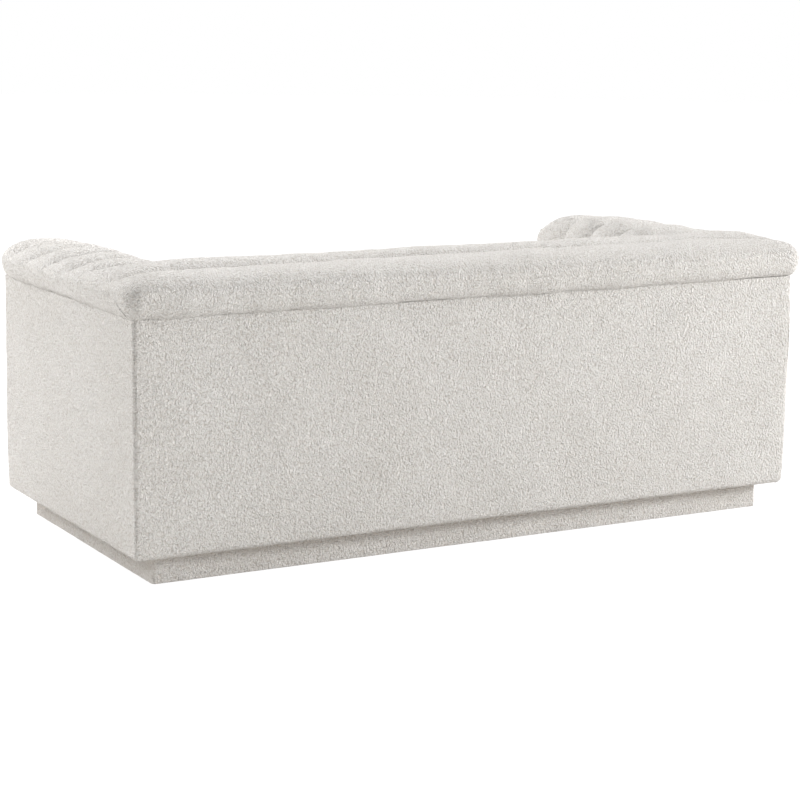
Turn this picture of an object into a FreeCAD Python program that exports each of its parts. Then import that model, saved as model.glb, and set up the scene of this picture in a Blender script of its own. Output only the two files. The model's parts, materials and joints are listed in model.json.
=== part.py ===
"""Low tuxedo sofa: recessed plinth, box body, overhanging channelled arms and back, two loose cushions.

The sofa faces -Y, +X is the sitter's left and +Z is up.  The origin is on the floor under the middle of
the body.  All sizes are in millimetres.
"""
import FreeCAD, Part

import math
import os
import re

import Sketcher

Vector = FreeCAD.Vector

document = FreeCAD.newDocument("tuxedo_sofa")

# Driving dimensions
SIZES = [
    ("body_length", 1820, "outer faces of the two side panels"),
    ("body_depth", 830, "front panel to back panel"),
    ("plinth_height", 69, "floor to the underside of the body"),
    ("pad_line", 610, "floor to the underside of the overhanging pads"),
    ("deck_height", 285, "floor to the top of the deck cloth"),
    ("arm_width", 240, "outer side panel to the arm's inner fabric"),
    ("arm_padding", 55, "foam and channels on the arm's inner side"),
    ("plinth_side_inset", 57, "body side to plinth side"),
    ("plinth_back_inset", 38, "body back to plinth back"),
    ("plinth_front_inset", 41, "body front to plinth front"),
    ("plinth_board", 22, "thickness of the plinth boards"),
    ("plinth_cover", 4, "thickness of the fabric round the plinth"),
    ("dust_cloth", 1, "thickness of the cloth under the plinth"),
    ("glide_height", 2, "glide below the dust cloth"),
    ("glide_radius", 14, "radius of a glide"),
    ("glide_inset", 34, "plinth cover to the centre of a glide"),
    ("brace_place", 290, "middle of the sofa to the middle of a brace"),
    ("brace_board", 25, "thickness of the braces under the seat"),
    ("brace_height", 120, "height of the braces under the seat"),
    ("bolt_radius", 4, "shank of a plinth bolt"),
    ("bolt_head_radius", 8, "head of a plinth bolt"),
    ("bolt_head", 6, "height of a bolt head"),
    ("bolt_recess", 30, "dust cloth to the underside of a bolt head"),
    ("bolt_length", 56, "length of a bolt under its head"),
    ("bolt_place", 190, "middle of the depth to a bolt"),
    ("panel_padding", 12, "fabric and wadding on the outer panels"),
    ("panel_edge_radius", 10, "lower edge of the outer panels"),
    ("outer_board", 4, "fibreboard under the outer fabric"),
    ("arm_board", 18, "plywood of the arm boxes"),
    ("inner_board", 9, "plywood on the arm's inner side"),
    ("rail_board", 25, "thickness of the seat rails"),
    ("back_rail_height", 90, "height of the two rails across the back"),
    ("back_board", 18, "plywood ribs and top board of the back"),
    ("rib_place", 260, "middle of the sofa to a middle rib"),
    ("corner_block", 60, "leg of a triangular corner block"),
    ("corner_block_height", 80, "height of a corner block of the seat frame"),
    ("deck_pad", 15, "thickness of the pad on the springs"),
    ("deck_cloth", 2, "thickness of the deck cloth"),
    ("spring_clip", 8, "height of a spring clip"),
    ("spring_clip_width", 16, "width of a spring clip"),
    ("spring_clip_length", 22, "length of a spring clip over its rail"),
    ("spring_wire", 2, "radius of the spring wire"),
    ("spring_width", 56, "width of a spring"),
    ("spring_run", 30, "spacing of a spring's runs, about"),
    ("spring_spacing", 165, "spacing of the springs"),
    ("tie_wire", 1.5, "radius of the wires that tie the springs"),
    ("tie_place", 170, "middle of the springs to a tie wire"),
    ("back_face_low", 165, "middle of the depth to the inner back at the seat"),
    ("back_rake", 20, "how far the inner back leans over its height"),
    ("back_channel_pad", 40, "stuffing of the inner back's channels"),
    ("back_foam", 31, "foam behind the channels"),
    ("back_web", 2, "thickness of the webbing"),
    ("back_web_width", 50, "width of a webbing strap"),
    ("back_channel_depth", 12, "depth of the inner back's grooves"),
    ("channel_pitch", 120, "spacing of the arm's channels"),
    ("channel_depth", 13, "depth of a groove between channels"),
    ("arm_crown", 93, "height of the arm's crown above the pad line"),
    ("arm_crown_inset", 115, "body side to the arm's crown"),
    ("lip_overhang", 26, "how far the pads stand out from the body"),
    ("lip_rise", 42, "height of the pad's widest line above the pad line"),
    ("lip_tuck", 4, "body face to the lower edge of the pads' lip"),
    ("nose_length", 70, "length over which an arm's top rounds down to its front end"),
    ("shoulder_foot", 4, "pad line to the start of the arm's inner shoulder"),
    ("second_roll_crown", 98, "height of the second roll above the pad line"),
    ("back_roll_crown", 94, "height of the back roll above the pad line"),
    ("roll_foot", 4, "stuffing of the rolls that is trimmed off along the frame"),
    ("roll_groove_middle", 262, "groove between the rolls at the middle"),
    ("roll_groove_arm", 285, "groove between the rolls at the arm's inner face"),
    ("roll_groove_end", 335, "groove between the rolls at the outer end"),
    ("roll_groove_depth", 18, "depth of the groove between the rolls"),
    ("top_foam", 35, "foam on top of the frame, under the pads"),
    ("top_foam_inset", 25, "body face to the foam on top"),
    ("soft_gap", 0.4, "clearance between soft pieces"),
    ("cushion_thickness", 140, "seat cushion at its edges"),
    ("cushion_crown", 26, "rise of the cushion's middle above its edges"),
    ("cushion_gap", 4, "clearance round a seat cushion"),
    ("cushion_draw", 10, "how far the cushion's ends are drawn in"),
    ("cushion_corner", 26, "rounding of the cushion's long edges"),
    ("cushion_wrap", 14, "cover and wadding round the foam core"),
    ("zip_length", 420, "zip in the cushion's rear side"),
    ("zip_width", 9, "width of the zip"),
    ("zip_depth", 3, "thickness of the zip"),
]

# Places that follow from the driving dimensions
PLACES = [
    ("half_length", "body_length / 2"),
    ("half_depth", "body_depth / 2"),
    ("board_x", "half_length - panel_padding"),
    ("frame_x", "board_x - outer_board"),
    ("board_back", "half_depth - panel_padding"),
    ("frame_back", "board_back - outer_board"),
    ("frame_front", "panel_padding - half_depth"),
    ("arm_face", "half_length - arm_width"),
    ("arm_inner", "arm_face + arm_padding"),
    ("arm_box", "arm_inner + inner_board"),
    ("arm_front_board", "frame_front + arm_board"),
    ("arm_rear_board", "frame_back - arm_board"),
    ("cover_x", "half_length - plinth_side_inset"),
    ("cover_back", "half_depth - plinth_back_inset"),
    ("cover_front", "plinth_front_inset - half_depth"),
    ("plinth_x", "cover_x - plinth_cover"),
    ("plinth_back", "cover_back - plinth_cover"),
    ("plinth_front", "cover_front + plinth_cover"),
    ("plinth_base", "glide_height + dust_cloth"),
    ("rib_back", "frame_back - back_board"),
    ("seat_rail_front", "frame_front + rail_board"),
    ("web_low", "back_face_low + back_channel_pad + back_foam"),
    ("rib_low", "web_low + back_web"),
    ("seat_rail_back", "rib_low + rail_board - 3"),
    ("seat_rail_rear", "seat_rail_back - rail_board"),
    ("rail_top", "deck_height - deck_cloth - deck_pad - spring_clip"),
    ("rib_top", "pad_line - back_board"),
    ("last_groove", "back_face_low"),
    ("first_groove", "back_face_low - 4 * channel_pitch"),
    ("nose_front", "0 - half_depth - lip_overhang"),
    ("nose_start", "nose_front + nose_length"),
    ("roll_back", "half_depth + lip_overhang"),
    ("crown_x", "half_length - arm_crown_inset"),
    ("wide_x", "half_length + lip_overhang"),
    ("wide_z", "pad_line + lip_rise"),
    ("lip_x", "half_length - lip_tuck"),
    ("lip_back", "half_depth - lip_tuck"),
    ("foam_x", "half_length - top_foam_inset"),
    ("cushion_low", "deck_height + soft_gap"),
    ("cushion_front", "0 - half_depth + cushion_gap"),
    ("cushion_rear", "back_face_low - cushion_gap"),
]

size_sheet = document.addObject("Spreadsheet::Sheet", "Sizes")
for row, (alias, number, note) in enumerate(SIZES, start=1):
    size_sheet.set(f"A{row}", note)
    size_sheet.set(f"B{row}", str(number))
    size_sheet.setAlias(f"B{row}", alias)

SIZE_NAMES = {alias for alias, number, note in SIZES}
PLACE_NAMES = {alias for alias, formula in PLACES}


def bound(formula):
    """The formula with each name pointed at its sheet."""
    def sheet_name(match):
        word = match.group(0)
        if word in SIZE_NAMES:
            return "Sizes." + word
        if word in PLACE_NAMES:
            return "Places." + word
        return word
    return re.sub(r"[a-z][a-z_]*", sheet_name, str(formula))


place_sheet = document.addObject("Spreadsheet::Sheet", "Places")
for row, (alias, formula) in enumerate(PLACES, start=1):
    own_cells = re.sub(r"Places\.", "", bound(formula))
    place_sheet.set(f"B{row}", "=" + own_cells)
    place_sheet.setAlias(f"B{row}", alias)
document.recompute()


class Numbers:
    """The sheets' values under their names, for the shapes that are worked out point by point."""


size = Numbers()
for alias in SIZE_NAMES:
    setattr(size, alias, float(size_sheet.get(alias)))
for alias in PLACE_NAMES:
    setattr(size, alias, float(place_sheet.get(alias)))

nodes = []


def node(item, label):
    """Name a finished piece and put it on the list of pieces."""
    item.Label = label
    nodes.append(item)
    return item


def place(item, x, y, z):
    """Bind an object's position to three formulas."""
    item.setExpression("Placement.Base.x", bound(x))
    item.setExpression("Placement.Base.y", bound(y))
    item.setExpression("Placement.Base.z", bound(z))


def board(label, x_span, y_span, z_span):
    """A square-edged board between three pairs of formulas."""
    box = document.addObject("Part::Box", label)
    for side, (low, high) in zip(("Length", "Width", "Height"), (x_span, y_span, z_span)):
        box.setExpression(side, bound(f"({high}) - ({low})"))
    place(box, x_span[0], y_span[0], z_span[0])
    return box


def rod(label, x, y, z, radius, height):
    """An upright cylinder on a point."""
    cylinder = document.addObject("Part::Cylinder", label)
    cylinder.setExpression("Radius", bound(radius))
    cylinder.setExpression("Height", bound(height))
    place(cylinder, x, y, z)
    return cylinder


def group(label, members):
    """Several separate equal pieces that share a node."""
    compound = document.addObject("Part::Compound", label)
    compound.Links = members
    return compound


def less(label, base, tools):
    """A piece with other pieces cut out of it."""
    if len(tools) > 1:
        tool = document.addObject("Part::MultiFuse", label + "_tools")
        tool.Shapes = tools
    else:
        tool = tools[0]
    cut = document.addObject("Part::Cut", label)
    cut.Base = base
    cut.Tool = tool
    return cut


def mirrored(text):
    """The formula's value on the other side of the sofa's middle."""
    return f"0 - ({text})"


def side_span(side, low, high):
    """A span across the sofa on the left (+1) or the right (-1) side."""
    return (low, high) if side > 0 else (mirrored(high), mirrored(low))


def origin_plane(body, role):
    """One of the body's own three base planes."""
    return next(item for item in body.Origin.OriginFeatures if item.Role == role)


def outline_body(label, role, corners, start, length, edge_radius=None, edge_test=None):
    """A prism over a polygon on a base plane; each corner is a pair of formulas."""
    body = document.addObject("PartDesign::Body", label + "_body")
    sketch = body.newObject("Sketcher::SketchObject", label + "_sketch")
    sketch.AttachmentSupport = (origin_plane(body, role), "")
    sketch.MapMode = "FlatFace"
    sketch.setExpression("AttachmentOffset.Base.z", bound(start))
    points = []
    for first, second in corners:
        point = Vector(*(number_of(text) for text in (first, second)), 0)
        points.append(point)
    count = len(points)
    for index in range(count):
        sketch.addGeometry(Part.LineSegment(points[index], points[(index + 1) % count]), False)
    for index in range(count):
        sketch.addConstraint(Sketcher.Constraint("Coincident", index, 2, (index + 1) % count, 1))
    for index, corner in enumerate(corners):
        for kind, text in zip(("DistanceX", "DistanceY"), corner):
            constraint = Sketcher.Constraint(kind, -1, 1, index, 1, number_of(text))
            row = sketch.addConstraint(constraint)
            sketch.setExpression(f"Constraints[{row}]", bound(text))
    pad = body.newObject("PartDesign::Pad", label + "_pad")
    pad.Profile = sketch
    pad.setExpression("Length", bound(length))
    document.recompute()
    if edge_radius:
        edges = [f"Edge{place_in_list}" for place_in_list, edge in enumerate(pad.Shape.Edges, start=1)
                 if edge_test(edge)]
        fillet = body.newObject("PartDesign::Fillet", label + "_fillet")
        fillet.Base = (pad, edges)
        fillet.setExpression("Radius", bound(edge_radius))
        body.Tip = fillet
    return body


probe = document.addObject("App::FeaturePython", "Probe")
probe.addProperty("App::PropertyFloat", "Result")


def number_of(formula):
    """The present value of a formula of sheet names."""
    probe.setExpression("Result", bound(formula))
    probe.recompute()
    return float(probe.Result)


# Plinth
def make_plinth():
    height_span = ("plinth_base", "plinth_height")
    node(board("plinth_front_rail", ("0 - plinth_x", "plinth_x"),
               ("plinth_front", "plinth_front + plinth_board"), height_span), "plinth_front_rail")
    node(board("plinth_back_rail", ("0 - plinth_x", "plinth_x"),
               ("plinth_back - plinth_board", "plinth_back"), height_span), "plinth_back_rail")
    inside = ("plinth_front + plinth_board", "plinth_back - plinth_board")
    braces = []
    for name, side in (("left", 1), ("right", -1)):
        label = f"plinth_{name}_rail"
        rail = board(label + "_board", side_span(side, "plinth_x - plinth_board", "plinth_x"),
                     inside, height_span)
        x = f"{side} * (plinth_x - plinth_board / 2)"
        node(less(label, rail, bolt_holes(label, x)), label)
        label = f"plinth_{name}_brace"
        brace = board(label + "_board",
                      side_span(side, "brace_place - brace_board / 2", "brace_place + brace_board / 2"),
                      inside, height_span)
        braces.append(less(label, brace, bolt_holes(label, f"{side} * brace_place")))
    node(group("plinth_braces", braces), "plinth_braces")
    outer = board("plinth_cover_outside", ("0 - cover_x", "cover_x"), ("cover_front", "cover_back"),
                  ("glide_height", "plinth_height"))
    inner = board("plinth_cover_inside", ("0 - plinth_x", "plinth_x"), ("plinth_front", "plinth_back"),
                  ("glide_height - 1", "plinth_height + 1"))
    node(less("plinth_cover", outer, [inner]), "plinth_cover")
    cloth = board("dust_cloth", ("0 - plinth_x", "plinth_x"), ("plinth_front", "plinth_back"),
                  ("glide_height", "plinth_base"))
    node(cloth, "dust_cloth")
    glides = []
    for x in ("glide_inset - cover_x", "0 - brace_place", "brace_place", "cover_x - glide_inset"):
        for y in ("cover_front + glide_inset", "cover_back - glide_inset"):
            glides.append(rod(f"glide_{len(glides) + 1}", x, y, "0", "glide_radius", "glide_height"))
    node(group("glides", glides), "glides")
    node(make_blocks("plinth_corner_blocks", "plinth_x - plinth_board", "plinth_front + plinth_board",
                     "plinth_back - plinth_board", "plinth_base", "plinth_height - plinth_base"),
         "plinth_corner_blocks")


def bolt_holes(label, x):
    """Two stepped holes along the depth, in which the bolts' heads sit."""
    holes = []
    for y in ("0 - bolt_place", "bolt_place"):
        number = len(holes)
        holes.append(rod(f"{label}_hole_{number}", x, y, "plinth_base - 1", "bolt_radius",
                         "pad_line"))
        holes.append(rod(f"{label}_recess_{number}", x, y, "plinth_base - 1", "bolt_head_radius",
                         "bolt_recess + bolt_head + 1"))
    return holes


def make_bolts():
    bolts = []
    for x in ("plinth_board / 2 - plinth_x", "0 - brace_place", "brace_place",
              "plinth_x - plinth_board / 2"):
        for y in ("0 - bolt_place", "bolt_place"):
            name = f"plinth_bolt_{len(bolts) + 1}"
            head = rod(name + "_head", x, y, "plinth_base + bolt_recess", "bolt_head_radius", "bolt_head")
            shank = rod(name + "_shank", x, y, "plinth_base + bolt_recess + bolt_head", "bolt_radius",
                        "bolt_length")
            bolt = document.addObject("Part::Fuse", name)
            bolt.Base = head
            bolt.Tool = shank
            bolts.append(bolt)
    node(group("plinth_bolts", bolts), "plinth_bolts")


def blind_holes(label, x):
    """Two holes from below that take the ends of the bolts."""
    start = "plinth_base + bolt_recess + bolt_head"
    return [rod(f"{label}_hole_{number}", x, y, start, "bolt_radius", "bolt_length")
            for number, y in enumerate(("0 - bolt_place", "bolt_place"))]


def make_blocks(label, x, front, rear, low, height):
    """Four triangular blocks in the corners of a frame."""
    blocks = []
    for side in (1, -1):
        for end, y, inward in (("front", front, "+"), ("rear", rear, "-")):
            corner_x = f"{side} * ({x})"
            corners = [(corner_x, y),
                       (f"{side} * (({x}) - corner_block)", y),
                       (corner_x, f"({y}) {inward} corner_block")]
            if (side > 0) == (inward == "+"):
                corners.reverse()
            name = f"{label}_{end}_{'left' if side > 0 else 'right'}"
            blocks.append(outline_body(name, "XY_Plane", corners, low, height))
    return group(label, blocks)


# Seat frame, springs and deck
def make_seat_frame():
    across = ("0 - arm_inner", "arm_inner")
    rail_span = ("plinth_height", "rail_top")
    node(board("seat_front_rail", across, ("frame_front", "seat_rail_front"), rail_span),
         "seat_front_rail")
    node(board("seat_rear_rail", across, ("seat_rail_rear", "seat_rail_back"), rail_span),
         "seat_rear_rail")
    braces = []
    for name, side in (("left", 1), ("right", -1)):
        label = f"seat_{name}_brace"
        brace = board(label + "_board",
                      side_span(side, "brace_place - brace_board / 2", "brace_place + brace_board / 2"),
                      ("seat_rail_front", "seat_rail_rear"),
                      ("plinth_height", "plinth_height + brace_height"))
        braces.append(less(label, brace, blind_holes(label, f"{side} * brace_place")))
    node(group("seat_braces", braces), "seat_braces")
    node(make_blocks("seat_corner_blocks", "arm_inner", "seat_rail_front", "seat_rail_rear",
                     "plinth_height", "corner_block_height"), "seat_corner_blocks")
    deck_y = ("frame_front", "rib_low")
    node(board("deck_pad", across, deck_y, ("rail_top + spring_clip", "deck_height - deck_cloth")),
         "deck_pad")
    node(board("deck_cloth", across, deck_y, ("deck_height - deck_cloth", "deck_height")), "deck_cloth")


def spring_shape(width, run, count, radius):
    """A flat zigzag wire along +Y: straight runs across, joined by half turns."""
    bend = run / 2
    reach = width / 2 - bend
    edges = []
    for step in range(count):
        side = 1 if step % 2 == 0 else -1
        y = step * run
        edges.append(Part.LineSegment(Vector(-side * reach, y, 0), Vector(side * reach, y, 0)).toShape())
        if step < count - 1:
            tip = Vector(side * (reach + bend), y + bend, 0)
            for start, finish, turn in ((Vector(side * reach, y, 0), tip, -45),
                                        (tip, Vector(side * reach, y + run, 0), 45)):
                angle = math.radians(turn)
                middle = Vector(side * (reach + bend * math.cos(angle)), y + bend + bend * math.sin(angle), 0)
                edges.append(Part.Arc(start, middle, finish).toShape())
    path = Part.Wire(edges)
    start = Vector(-reach, 0, 0)
    section = Part.Wire([Part.makeCircle(radius, start, Vector(1, 0, 0))])
    return path.makePipeShell([section], True, False), path.Length


def make_springs():
    """Zigzag springs from rail to rail, their end clips and the wires that tie them."""
    front = (size.frame_front + size.seat_rail_front) / 2
    rear = (size.seat_rail_rear + size.seat_rail_back) / 2
    count = round((rear - front) / size.spring_run)
    run = (rear - front) / count
    height = size.rail_top + size.spring_clip / 2
    spring, length = spring_shape(size.spring_width, run, count + 1, size.spring_wire)
    expected = math.pi * size.spring_wire ** 2 * length
    if abs(spring.Volume - expected) > 0.01 * expected:
        raise RuntimeError("the spring's volume is not that of its wire")
    half_count = int((size.arm_face - size.spring_width / 2) // size.spring_spacing)
    places = [step * size.spring_spacing for step in range(-half_count, half_count + 1)]
    springs = [spring.translated(Vector(x, front, height)) for x in places]
    node(feature("seat_springs", Part.makeCompound(springs)), "seat_springs")
    clips = []
    reach = size.spring_width / 2 - run / 2
    for x in places:
        for y in (front, rear):
            half_width = size.spring_clip_width / 2
            half_long = size.spring_clip_length / 2
            clip = block((x - half_width, x + half_width), (y - half_long, y + half_long),
                         (size.rail_top, size.rail_top + size.spring_clip))
            slot = Part.makeCylinder(size.spring_wire, 2 * reach, Vector(x - reach, y, height),
                                     Vector(1, 0, 0))
            clips.append(clip.cut(slot))
    node(feature("spring_clips", Part.makeCompound(clips)), "spring_clips")
    middle = (front + rear) / 2
    low = height - size.spring_wire - size.tie_wire
    reach = places[-1] + size.spring_width / 2
    ties = [Part.makeCylinder(size.tie_wire, 2 * reach, Vector(-reach, middle + offset, low),
                              Vector(1, 0, 0))
            for offset in (-size.tie_place, size.tie_place)]
    node(feature("spring_tie_wires", Part.makeCompound(ties)), "spring_tie_wires")


def feature(label, shape):
    """A piece whose form is worked out point by point."""
    item = document.addObject("Part::Feature", label)
    item.Shape = shape
    item.Placement = FreeCAD.Placement()
    return item


# Arm boxes
def make_arm_boxes():
    wide = ("arm_box", "frame_x")
    tall = ("plinth_height", "pad_line")
    deep = ("arm_front_board", "arm_rear_board")
    for name, side in (("left", 1), ("right", -1)):
        across = side_span(side, *wide)
        node(board(f"{name}_arm_front_board", across, ("frame_front", "arm_front_board"), tall),
             f"{name}_arm_front_board")
        node(board(f"{name}_arm_rear_board", across, ("arm_rear_board", "frame_back"), tall),
             f"{name}_arm_rear_board")
        node(board(f"{name}_arm_top_board", across, deep, ("pad_line - arm_board", "pad_line")),
             f"{name}_arm_top_board")
        label = f"{name}_arm_bottom_board"
        bottom = board(label + "_board", across, deep, ("plinth_height", "plinth_height + arm_board"))
        holes = blind_holes(label, f"{side} * (plinth_x - plinth_board / 2)")
        node(less(label, bottom, holes), label)
        node(board(f"{name}_arm_inner_board", side_span(side, "arm_inner", "arm_box"),
                   ("frame_front", "frame_back"), tall), f"{name}_arm_inner_board")
        node(board(f"{name}_outer_board", side_span(side, "frame_x", "board_x"),
                   ("frame_front", "frame_back"), tall), f"{name}_outer_board")


# Back frame
def make_back_frame():
    corners = [("seat_rail_back", "plinth_height"),
               ("rib_back", "plinth_height"),
               ("rib_back", "rib_top"),
               ("rib_low + back_rake", "rib_top"),
               ("rib_low", "deck_height"),
               ("seat_rail_back", "deck_height")]
    for name, x in (("left", "arm_inner - back_board"), ("right", "0 - arm_inner")):
        label = f"back_{name}_rib"
        node(outline_body(label, "YZ_Plane", corners, x, "back_board"), label)
    middle_ribs = [outline_body(f"back_{name}_rib", "YZ_Plane", corners, x, "back_board")
                   for name, x in (("mid_left", "rib_place - back_board / 2"),
                                   ("mid_right", "0 - rib_place - back_board / 2"))]
    node(group("back_middle_ribs", middle_ribs), "back_middle_ribs")
    across = ("0 - arm_inner", "arm_inner")
    deep = ("rib_back", "frame_back")
    node(board("back_lower_rail", across, deep, ("plinth_height", "plinth_height + back_rail_height")),
         "back_lower_rail")
    node(board("back_upper_rail", across, deep, ("rib_top - back_rail_height", "rib_top")),
         "back_upper_rail")
    node(board("back_top_board", across, ("rib_low + back_rake", "frame_back"), ("rib_top", "pad_line")),
         "back_top_board")
    node(board("back_outer_board", ("0 - board_x", "board_x"), ("frame_back", "board_back"),
               ("plinth_height", "pad_line")), "back_outer_board")


def lean(z):
    """How far the raked inner back stands behind its lower edge at a height."""
    return size.back_rake * (z - size.deck_height) / (size.rib_top - size.deck_height)


def make_back_padding():
    """Webbing straps, a foam slab and the channelled pad, all leaning with the ribs' front edges."""
    reach = size.arm_face - size.soft_gap
    straps = []
    strap_count = 4
    step = (size.rib_top - size.deck_height) / strap_count
    for row in range(strap_count):
        low = size.deck_height + (row + 0.5) * step - size.back_web_width / 2
        straps.append(leaning_slab(size.web_low, size.back_web, low, low + size.back_web_width, reach))
    node(feature("back_webbing", Part.makeCompound(straps)), "back_webbing")
    slab = leaning_slab(size.back_face_low + size.back_channel_pad, size.back_foam, size.deck_height,
                        size.rib_top, reach)
    node(feature("back_foam", slab), "back_foam")
    node(feature("inner_back_channels", inner_back_shape(reach)), "inner_back_channels")


def leaning_slab(front_low, thickness, low, high, reach):
    """A slab across the sofa, bounded by two raked planes."""
    corners = [(front_low + lean(low), low), (front_low + thickness + lean(low), low),
               (front_low + thickness + lean(high), high), (front_low + lean(high), high)]
    points = [Vector(-reach, y, z) for y, z in corners]
    face = Part.Face(Part.makePolygon(points + points[:1]))
    return face.extrude(Vector(2 * reach, 0, 0))


def inner_back_shape(reach):
    """Three horizontal channels, each a round swelling between two sewn grooves."""
    channel_count = 3
    low = size.deck_height
    step = (size.pad_line - low) / channel_count
    groove = size.back_channel_depth
    rear = size.back_face_low + size.back_channel_pad
    edges = []
    for row in range(channel_count):
        start = low + row * step
        finish = start + step
        points = [Vector(-reach, size.back_face_low + lean(z) + depth, z)
                  for z, depth in ((start, groove), (start + step / 2, 0), (finish, groove))]
        edges.append(Part.Arc(*points).toShape())
    top = size.pad_line
    corners = [Vector(-reach, size.back_face_low + lean(top) + groove, top),
               Vector(-reach, rear + lean(size.rib_top), top),
               Vector(-reach, rear + lean(size.rib_top), size.rib_top),
               Vector(-reach, rear, low),
               Vector(-reach, size.back_face_low + groove, low)]
    for first, second in zip(corners, corners[1:]):
        edges.append(Part.LineSegment(first, second).toShape())
    face = Part.Face(Part.Wire(Part.__sortEdges__(edges)))
    return face.extrude(Vector(2 * reach, 0, 0))


# Padded arms and rolls

# Exponent of the rounded ends' outline: 2 is an ellipse, more is fuller
END_FULLNESS = 2.4
# Shares of the half widths by which the tip of an arm's nose is drawn in, outside and inside
NOSE_DRAW = 0.62
NOSE_INNER_DRAW = 0.22
# How far the nose's lower edge is tucked under at its tip, in lip overhangs
NOSE_TUCK = 1.3
# Share of a groove's depth that is left where it runs out at the lip
GROOVE_AT_LIP = 0.15
# Share of the arm's padding that is foam, under the channelled pad
FOAM_SHARE = 0.45
# Gap between the foam's front and the arm's front panel
FOAM_FRONT_GAP = 3
# How far a cushion's sides swell, in corner radii
CUSHION_SWELL = 0.12
# How far a trimming block reaches past what it trims
TRIM_REACH = 50
# Largest error in the place of an edge that is to be rounded
EDGE_ERROR = 0.1


def block(x_span, y_span, z_span):
    """A plain box, used to trim the pads where they sit on the frame."""
    return Part.makeBox(x_span[1] - x_span[0], y_span[1] - y_span[0], z_span[1] - z_span[0],
                        Vector(x_span[0], y_span[0], z_span[0]))


def joined(points):
    """Edges through groups of points: two make a line and three make an arc."""
    edges = []
    for span in points:
        if len(span) == 2:
            edges.append(Part.LineSegment(*span).toShape())
        else:
            edges.append(Part.Arc(*span).toShape())
    return Part.Wire(edges)


def rounding(share):
    """The height of a rounded end at a share of its length: 1 where it starts and 0 at its tip."""
    return (1 - min(max(share, 0.0), 1.0) ** END_FULLNESS) ** (1 / END_FULLNESS)


def between(low, high, share):
    """The number at a share of the way from one to another."""
    return low + share * (high - low)


def arm_crown_spans(y, sink):
    """The arm's curve at a depth, from the lip's lower edge over the crown to the inner shoulder.

    sink is the groove's depth there.  Forward of nose_start the crown comes down and the sides draw in,
    and forward of the body's face the lower edge comes up, each along a rounded end.
    """
    top = rounding((size.nose_start - y) / size.nose_length)
    low = rounding((-size.lip_back - y) / (-size.lip_back - size.nose_front))
    crown_z = size.wide_z + (size.arm_crown - size.lip_rise) * top - sink
    lip_z = size.wide_z - size.lip_rise * low
    inner_z = lip_z + size.shoulder_foot
    outer_x = between(size.wide_x, size.crown_x, NOSE_DRAW * (1 - top)) - GROOVE_AT_LIP * sink
    inner_x = between(size.arm_face, size.crown_x, NOSE_INNER_DRAW * (1 - top)) + sink
    lip_x = size.lip_x - NOSE_TUCK * (1 - low) * size.lip_overhang
    lip = Vector(lip_x, y, lip_z)
    wide = Vector(outer_x, y, size.wide_z)
    crown = Vector(size.crown_x, y, crown_z)
    inner = Vector(inner_x, y, inner_z)
    under = Vector(between(lip_x, outer_x, 0.78), y, between(size.wide_z, lip_z, 0.55))
    shoulder = Vector(between(outer_x, size.crown_x, 0.5), y, between(size.wide_z, crown_z, 0.76))
    turn = Vector(between(size.crown_x, inner_x, 0.72), y, between(inner_z, crown_z, 0.74))
    return [(lip, under, wide), (wide, shoulder, crown), (crown, turn, inner)]


def arm_section(y, sink):
    """The arm pad's whole outline at a depth, over the top and down the inner side."""
    spans = arm_crown_spans(y, sink)
    inner = spans[-1][-1]
    lip = spans[0][0]
    middle_z = (inner.z + size.deck_height) / 2
    face_low = Vector(inner.x, y, size.deck_height)
    face_mid = Vector(inner.x, y, middle_z)
    rear_low = Vector(size.arm_inner, y, size.deck_height)
    rear_top = Vector(size.arm_inner, y, size.pad_line)
    spans += [(inner, face_mid), (face_mid, face_low), (face_low, rear_low), (rear_low, rear_top),
              (rear_top, lip)]
    return joined(spans)


def nose_section(y):
    """The outline of the arm pad's rounded front end, above the pad line only."""
    spans = arm_crown_spans(y, 0)
    inner = spans[-1][-1]
    lip = spans[0][0]
    foot = Vector(inner.x, y, lip.z)
    spans += [(inner, foot), (foot, lip)]
    return joined(spans)


def swelling(share):
    """The height of a stuffed channel at a share of its width, 0 in the grooves and 1 in the middle."""
    return math.sqrt(max(0.0, 1 - (2 * share - 1) ** 2))


def arm_pad_shape():
    """Five channels across the arm, over its top and down its inner side, with a rounded nose."""
    grooves = [size.first_groove + step * size.channel_pitch for step in range(5)]
    solids = []
    for start, finish in zip(grooves, grooves[1:]):
        sections = [arm_section(start + share * (finish - start),
                                size.channel_depth * (1 - swelling(share)))
                    for share in (0, 0.08, 0.25, 0.5, 0.75, 0.92, 1)]
        solids.append(Part.makeLoft(sections, True, False))
    width = grooves[0] - size.frame_front
    sections = [arm_section(size.frame_front + share * width,
                            size.channel_depth * (1 - math.sqrt(1 - share ** 2)))
                for share in (0, 0.3, 0.6, 0.85, 1)]
    solids.append(Part.makeLoft(sections, True, False))
    sections = [nose_section(between(size.frame_front, size.nose_front, share))
                for share in (0, 0.35, 0.65, 0.85, 0.97)]
    solids.append(Part.makeLoft(sections, True, False))
    solids.append(block((size.arm_face + size.channel_depth, size.arm_inner),
                        (size.last_groove, size.web_low), (size.deck_height, size.pad_line)))
    pad = solids[0].multiFuse(solids[1:])
    body_below = block((size.arm_inner, size.half_length), (-size.half_depth, size.half_depth),
                       (0, size.pad_line))
    front_below = block((0, size.half_length), (size.nose_front, size.frame_front), (0, size.pad_line))
    pad = pad.cut(body_below).cut(front_below).cut(arm_foam_prism())
    return only_solid(pad)


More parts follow.
